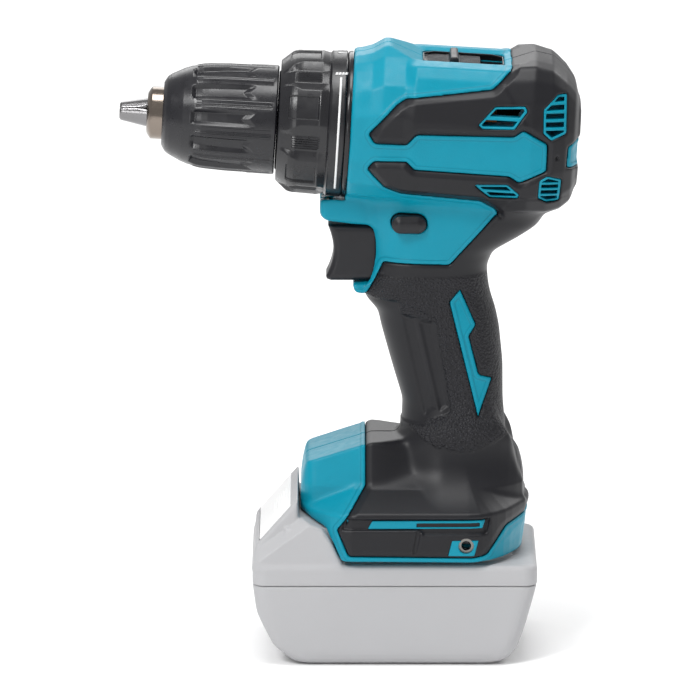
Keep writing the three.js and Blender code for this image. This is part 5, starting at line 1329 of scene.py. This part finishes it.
def trigger():
    """The trigger's paddle, which reaches a little below and in front of its CAD node."""
    low, high = extent("trigger")
    low = low - [TRIGGER_REACH, 0, TRIGGER_DROP]
    top, bottom, rear, half = high[2], low[2], high[0], high[1]
    finger_side = bezier([(-9, top), (-6.2, top - 7), (-5.4, top - 13), (-9.7, bottom + 1.8)], 14)
    shape = finger_side + [(-9.4, bottom + 0.6), (-7.6, bottom), (rear, bottom), (rear, top - 1.6),
                           (rear - 3.2, top)]
    grid = Grid(low - 1, high + 1, 0.3)
    side = outline(shape, grid.x, grid.z)
    field = meet(side + 0 * grid.y, np.abs(grid.y) - half, 3.0)
    seat = np.hypot(grid.y, grid.z - (top - 11.2)) - 3.4
    field = np.maximum(field, -np.maximum(seat, rear - 4 - grid.x))
    piece("trigger_paddle", *grid.net(field), BLACK, "trigger", "soft_cover", ["trigger"])


LEVER_DOME = 1.2


def reverse_lever():
    """The direction lever, with a domed end on each side."""
    low, high = extent("reverse_lever")
    half = (high - low) / 2
    grid = Grid(low - 1, high + 1, 0.3)
    side = lever_side(grid)
    dome = LEVER_DOME * ramp(-side, 0.0, 3.2)
    field = meet(side + 0 * grid.y, np.abs(grid.y) - half[1] + LEVER_DOME - dome, 0.8)
    piece("reverse_lever_button", *grid.net(field), BLACK, "lever", "black_plastic",
          ["reverse_lever"])


# ------------------------------------------------------------------- battery


def case_plan(x, y, low, high, corner, inset=0.0):
    """Distance to the pack's plan with rounded corners."""
    middle, half = (low + high)[0] / 2, (high - low)[0] / 2 - corner - inset
    away_x, away_y = np.abs(x - middle) - half, np.abs(y) - high[1] + corner + inset
    outside = np.hypot(np.maximum(away_x, 0), np.maximum(away_y, 0))
    return outside + np.minimum(np.maximum(away_x, away_y), 0) - corner


def battery_lower():
    """The pack's lower case: a hollow shell, open at the seam."""
    low, high = extent("battery_lower_case")
    seam, half, front, rear = high[2], high[1], low[0], high[0]
    grid = Grid(low - 1, high + 1, 0.6)
    shape = rounded([
        (front, seam + 9), (front, seam), (front + 1.6, seam - 12), (front + 8.5, 7),
        (front + 17, 0.8), (front + 22, 0), (rear - 19, 0), (rear - 13, 1.2),
        (rear - 8.4, 5.5), (rear - 4.8, 15.5),
        (rear, seam), (rear, seam + 9),
    ], 3.0)
    side = outline(shape, grid.x, grid.z)
    outer = meet(side + 0 * grid.y, np.abs(grid.y) - half, 7.0)
    outer = meet(outer, grid.z - seam, 0.7)
    inner = meet(side + 1.4, np.abs(grid.y) - half + 1.6, 7.0)
    piece("battery_lower_shell", *grid.net(meet(outer, -inner, 0.6)), PALE, "battery", "pale_case",
          ["battery_lower_case"])


HOOD_TOP, HOOD_FOOT = (-20.9, 67.6), (-37.8, 48.3)
HOOD_HALF = 31.0
BUTTON_HALF = 27.6
BUTTON_START = 4.4
BUTTON_END = 23.4


def slope_frame(x, z):
    """Distance down the hood's front slope from its top, and height above the slope."""
    run, drop = HOOD_FOOT[0] - HOOD_TOP[0], HOOD_FOOT[1] - HOOD_TOP[1]
    length = math.hypot(run, drop)
    dx, dz = x - HOOD_TOP[0], z - HOOD_TOP[1]
    return (dx * run + dz * drop) / length, (dx * drop - dz * run) / length


def button_space(x, y, z):
    """Where the release button slides: a deep part, and a shallow one open at the slope's foot."""
    down, above = slope_frame(x, z)
    side = y - BUTTON_HALF
    deep = all_of(BUTTON_START - down, down - BUTTON_END - 1.8, -4.2 - above)
    shallow = np.maximum(BUTTON_START - down, -0.75 - above)
    return np.maximum(np.minimum(deep, shallow), side)


def battery_top():
    """The pack's upper case: a slab, the slide for the foot, and a hood with a sloped front."""
    low, high = extent("battery_top_case")
    seam = low[2] - 0.25
    case_top = FOOT_RIM - 2.1
    grid = Grid(low - 1, high + 1, 0.5)
    x, y, z = grid.x, np.abs(grid.y), grid.z
    plan_edge = case_plan(x, y, low, high, 6.0) + 0 * z
    base = meet(meet(plan_edge, z - case_top, 2.5), seam - z, 0.5)
    slide_half = RAIL_HALF - 0.3
    rails = all_of(np.abs(x - 17.5) - 47.5, y - slide_half, z - RAIL_TOP + 3)
    rise = all_of(np.abs(x - 11) - 41, y - slide_half, z - RAIL_TOP - 1)
    bay = [(-26, -BAY_HALF + 0.3), (BAY_REAR - 14, -BAY_HALF + 0.3),
           (BAY_REAR - 6.2, -BAY_HALF * 0.82 + 0.3), (BAY_REAR - 0.4, -BAY_HALF * 0.54),
           (BAY_REAR - 0.4, 10), (-26, 10)]
    in_bay = outline(bay, x, -y)
    head = np.maximum(meet(in_bay, z - BAY_TOP + 0.3, 0.8), RAIL_TOP + 0.3 - z)
    rails = np.maximum(rails, in_bay)
    hood_side = [(-39.2, case_top - 3), (-38.2, 47.2), HOOD_FOOT, HOOD_TOP, (-20.6, 59.6),
                 (-19.0, 59.6), (-10.9, 56.3), (-7.0, 50.2), (-3.1, 42), (-3.1, case_top - 3)]
    side = outline(rounded(hood_side, 1.0), x, z)
    over_fold = z - 45.9 - 0.733 * (x + 38.8)
    width = HOOD_HALF - 0.1 * np.maximum(over_fold, 0) + np.clip(-1.3 * over_fold, 0, 5.6)
    hood = np.maximum(meet(side, (y - width) / 1.2, 1.8), plan_edge)
    form = join(join(np.minimum(np.minimum(rails, rise), head), base, 1.0), hood, 1.2)
    cells = all_of(np.abs(x - (low + high)[0] / 2) - (high - low)[0] / 2 + 3,
                   y - 34, z - case_top + 1.3)
    spaces = [
        button_space(x, y, z), cells,
        all_of(10 - x, y - 15.5, RAIL_TOP + 2 - z),
        all_of(np.abs(x - 24) - 36, y - 26, z - RAIL_TOP + 2),
        all_of(np.abs(x - 22) - 8, np.abs(y - 9) - 1.4, RAIL_TOP - 5 - z),
    ]
    for space in spaces:
        form = np.maximum(form, -space)
    piece("battery_top_shell", *grid.net(form), PALE, "battery", "pale_case", ["battery_top_case"])


def release_button():
    """The wide push button on the hood's slope: a thick body, and an apron over its spring."""
    low, high = extent("release_button")
    wider = BUTTON_HALF - high[1] + 1
    grid = Grid(low - [8, wider, 8], high + [3, wider, 5], 0.35)
    down, above = slope_frame(grid.x, grid.z)
    y = np.abs(grid.y)
    side = y - BUTTON_HALF + 0.35
    ridges = 0.4 * (0.5 + 0.5 * np.cos((down - 7) * 2 * np.pi / 2.2))
    ridges = ridges * ramp(down, 6.2, 7) * (1 - ramp(down, 14, 15))
    face = above - 0.35 - ridges * (1 - ramp(y, 9, 10))
    apron = meet(np.maximum(BUTTON_START + 0.3 - down, down - BUTTON_END), side, 1.0)
    apron = np.maximum(meet(apron, face, 0.5), -0.5 - above)
    body = all_of(BUTTON_START + 0.3 - down, down - 16.8, side, above, -3.7 - above)
    piece("release_button_cap", *grid.net(np.minimum(apron, body)), WHITE, "button", "white_button",
          ["release_button"])


def battery_panels():
    """A plain pale panel on each side of the pack."""
    half = extent("battery_lower_case")[1][1]
    corners = [(-17.5, 17.6), (8.0, 17.6), (5.2, 9.6), (-20.5, 9.6)]
    grid = Grid((-22, -half - 0.5, 8), (10, -half + 1.2, 19), 0.2)
    edge = outline(rounded(corners, 0.5), grid.x, grid.z)
    field = meet(edge + 0 * grid.y, -half + 0.01 - grid.y, 0.1)
    field = np.maximum(field, grid.y + half - 0.5)
    both_sides("battery_panel", *grid.net(field), WHITE, "battery", "white_button")


# ------------------------------------------------------------ camera and light


CAMERA_TARGET = Vector((0, 0, 0.122))
CAMERA_ELEVATION = math.radians(12.7)
CAMERA_DISTANCE = 3.6
CAMERA_LENS = 459


def camera():
    """A long lens, placed to match the photo's view of the left side."""
    data = bpy.data.cameras.new("camera")
    data.lens = CAMERA_LENS
    data.sensor_width = 36
    data.clip_end = 20
    obj = bpy.data.objects.new("camera", data)
    back, up = math.cos(CAMERA_ELEVATION), math.sin(CAMERA_ELEVATION)
    obj.location = CAMERA_TARGET + Vector((0, -back, up)) * CAMERA_DISTANCE
    obj.rotation_euler = (CAMERA_TARGET - obj.location).to_track_quat("-Z", "Y").to_euler()
    bpy.context.scene.collection.objects.link(obj)
    bpy.context.scene.camera = obj


def area_light(name, place, power, size):
    data = bpy.data.lights.new(name, "AREA")
    data.energy = power
    data.size = size
    obj = bpy.data.objects.new(name, data)
    obj.location = place
    aim = Vector((0.0, 0, 0.13)) - Vector(place)
    obj.rotation_euler = aim.to_track_quat("-Z", "Y").to_euler()
    bpy.context.scene.collection.objects.link(obj)


# Area lights: name, place in metres, power in watts and size in metres.
LIGHTS = [
    ("key", (-0.9, -1.2, 1.7), 24, 0.6),
    ("front", (-1.1, -2.4, 0.5), 7, 0.6),
    ("top", (0.0, -0.2, 1.8), 16, 0.8),
    ("rim", (0.9, 0.9, 0.9), 6, 0.7),
    ("backdrop", (-0.3, 2.4, 1.4), 16, 1.5),
]
WORLD_LIGHT = 0.5


def studio():
    """A plain pale floor, an even white world and soft area lights."""
    floor = bpy.data.meshes.new("floor")
    reach_m = 6
    floor.from_pydata([(-reach_m, -reach_m, 0), (reach_m, -reach_m, 0), (reach_m, reach_m, 0),
                       (-reach_m, reach_m, 0)], [], [(0, 1, 2, 3)])
    finish = Finish("floor_paint", 0.9, specular=0.1)
    finish.color(finish.mix(finish.noise(0.8), linear(250, 250, 250), linear(253, 253, 253)))
    floor.materials.append(finish.material)
    obj = bpy.data.objects.new("floor", floor)
    bpy.context.scene.collection.objects.link(obj)
    world = bpy.data.worlds.new("studio")
    bpy.context.scene.world = world
    world.use_nodes = True
    background = world.node_tree.nodes["Background"]
    background.inputs["Color"].default_value = (1, 1, 1, 1)
    background.inputs["Strength"].default_value = WORLD_LIGHT
    for light in LIGHTS:
        area_light(*light)
    bpy.context.scene.view_settings.view_transform = "Standard"


camera()
studio()
finish_cad_nodes()
skin = shell_and_cover()
side_skin = Side(skin, GRID)
vents(side_skin)
foot_inlays(side_skin)
chuck_sleeve()
torque_collar()
collar_print()
front_ring()
chuck_jaws()
chuck_nose()
speed_selector()
selector_surround()
block_piece("lamp_lens_clear", "lamp_lens", LENS, "tool", "lamp_glass", 0.8, 0.2)
trigger()
reverse_lever()
battery_lower()
battery_top()
release_button()
battery_panels()
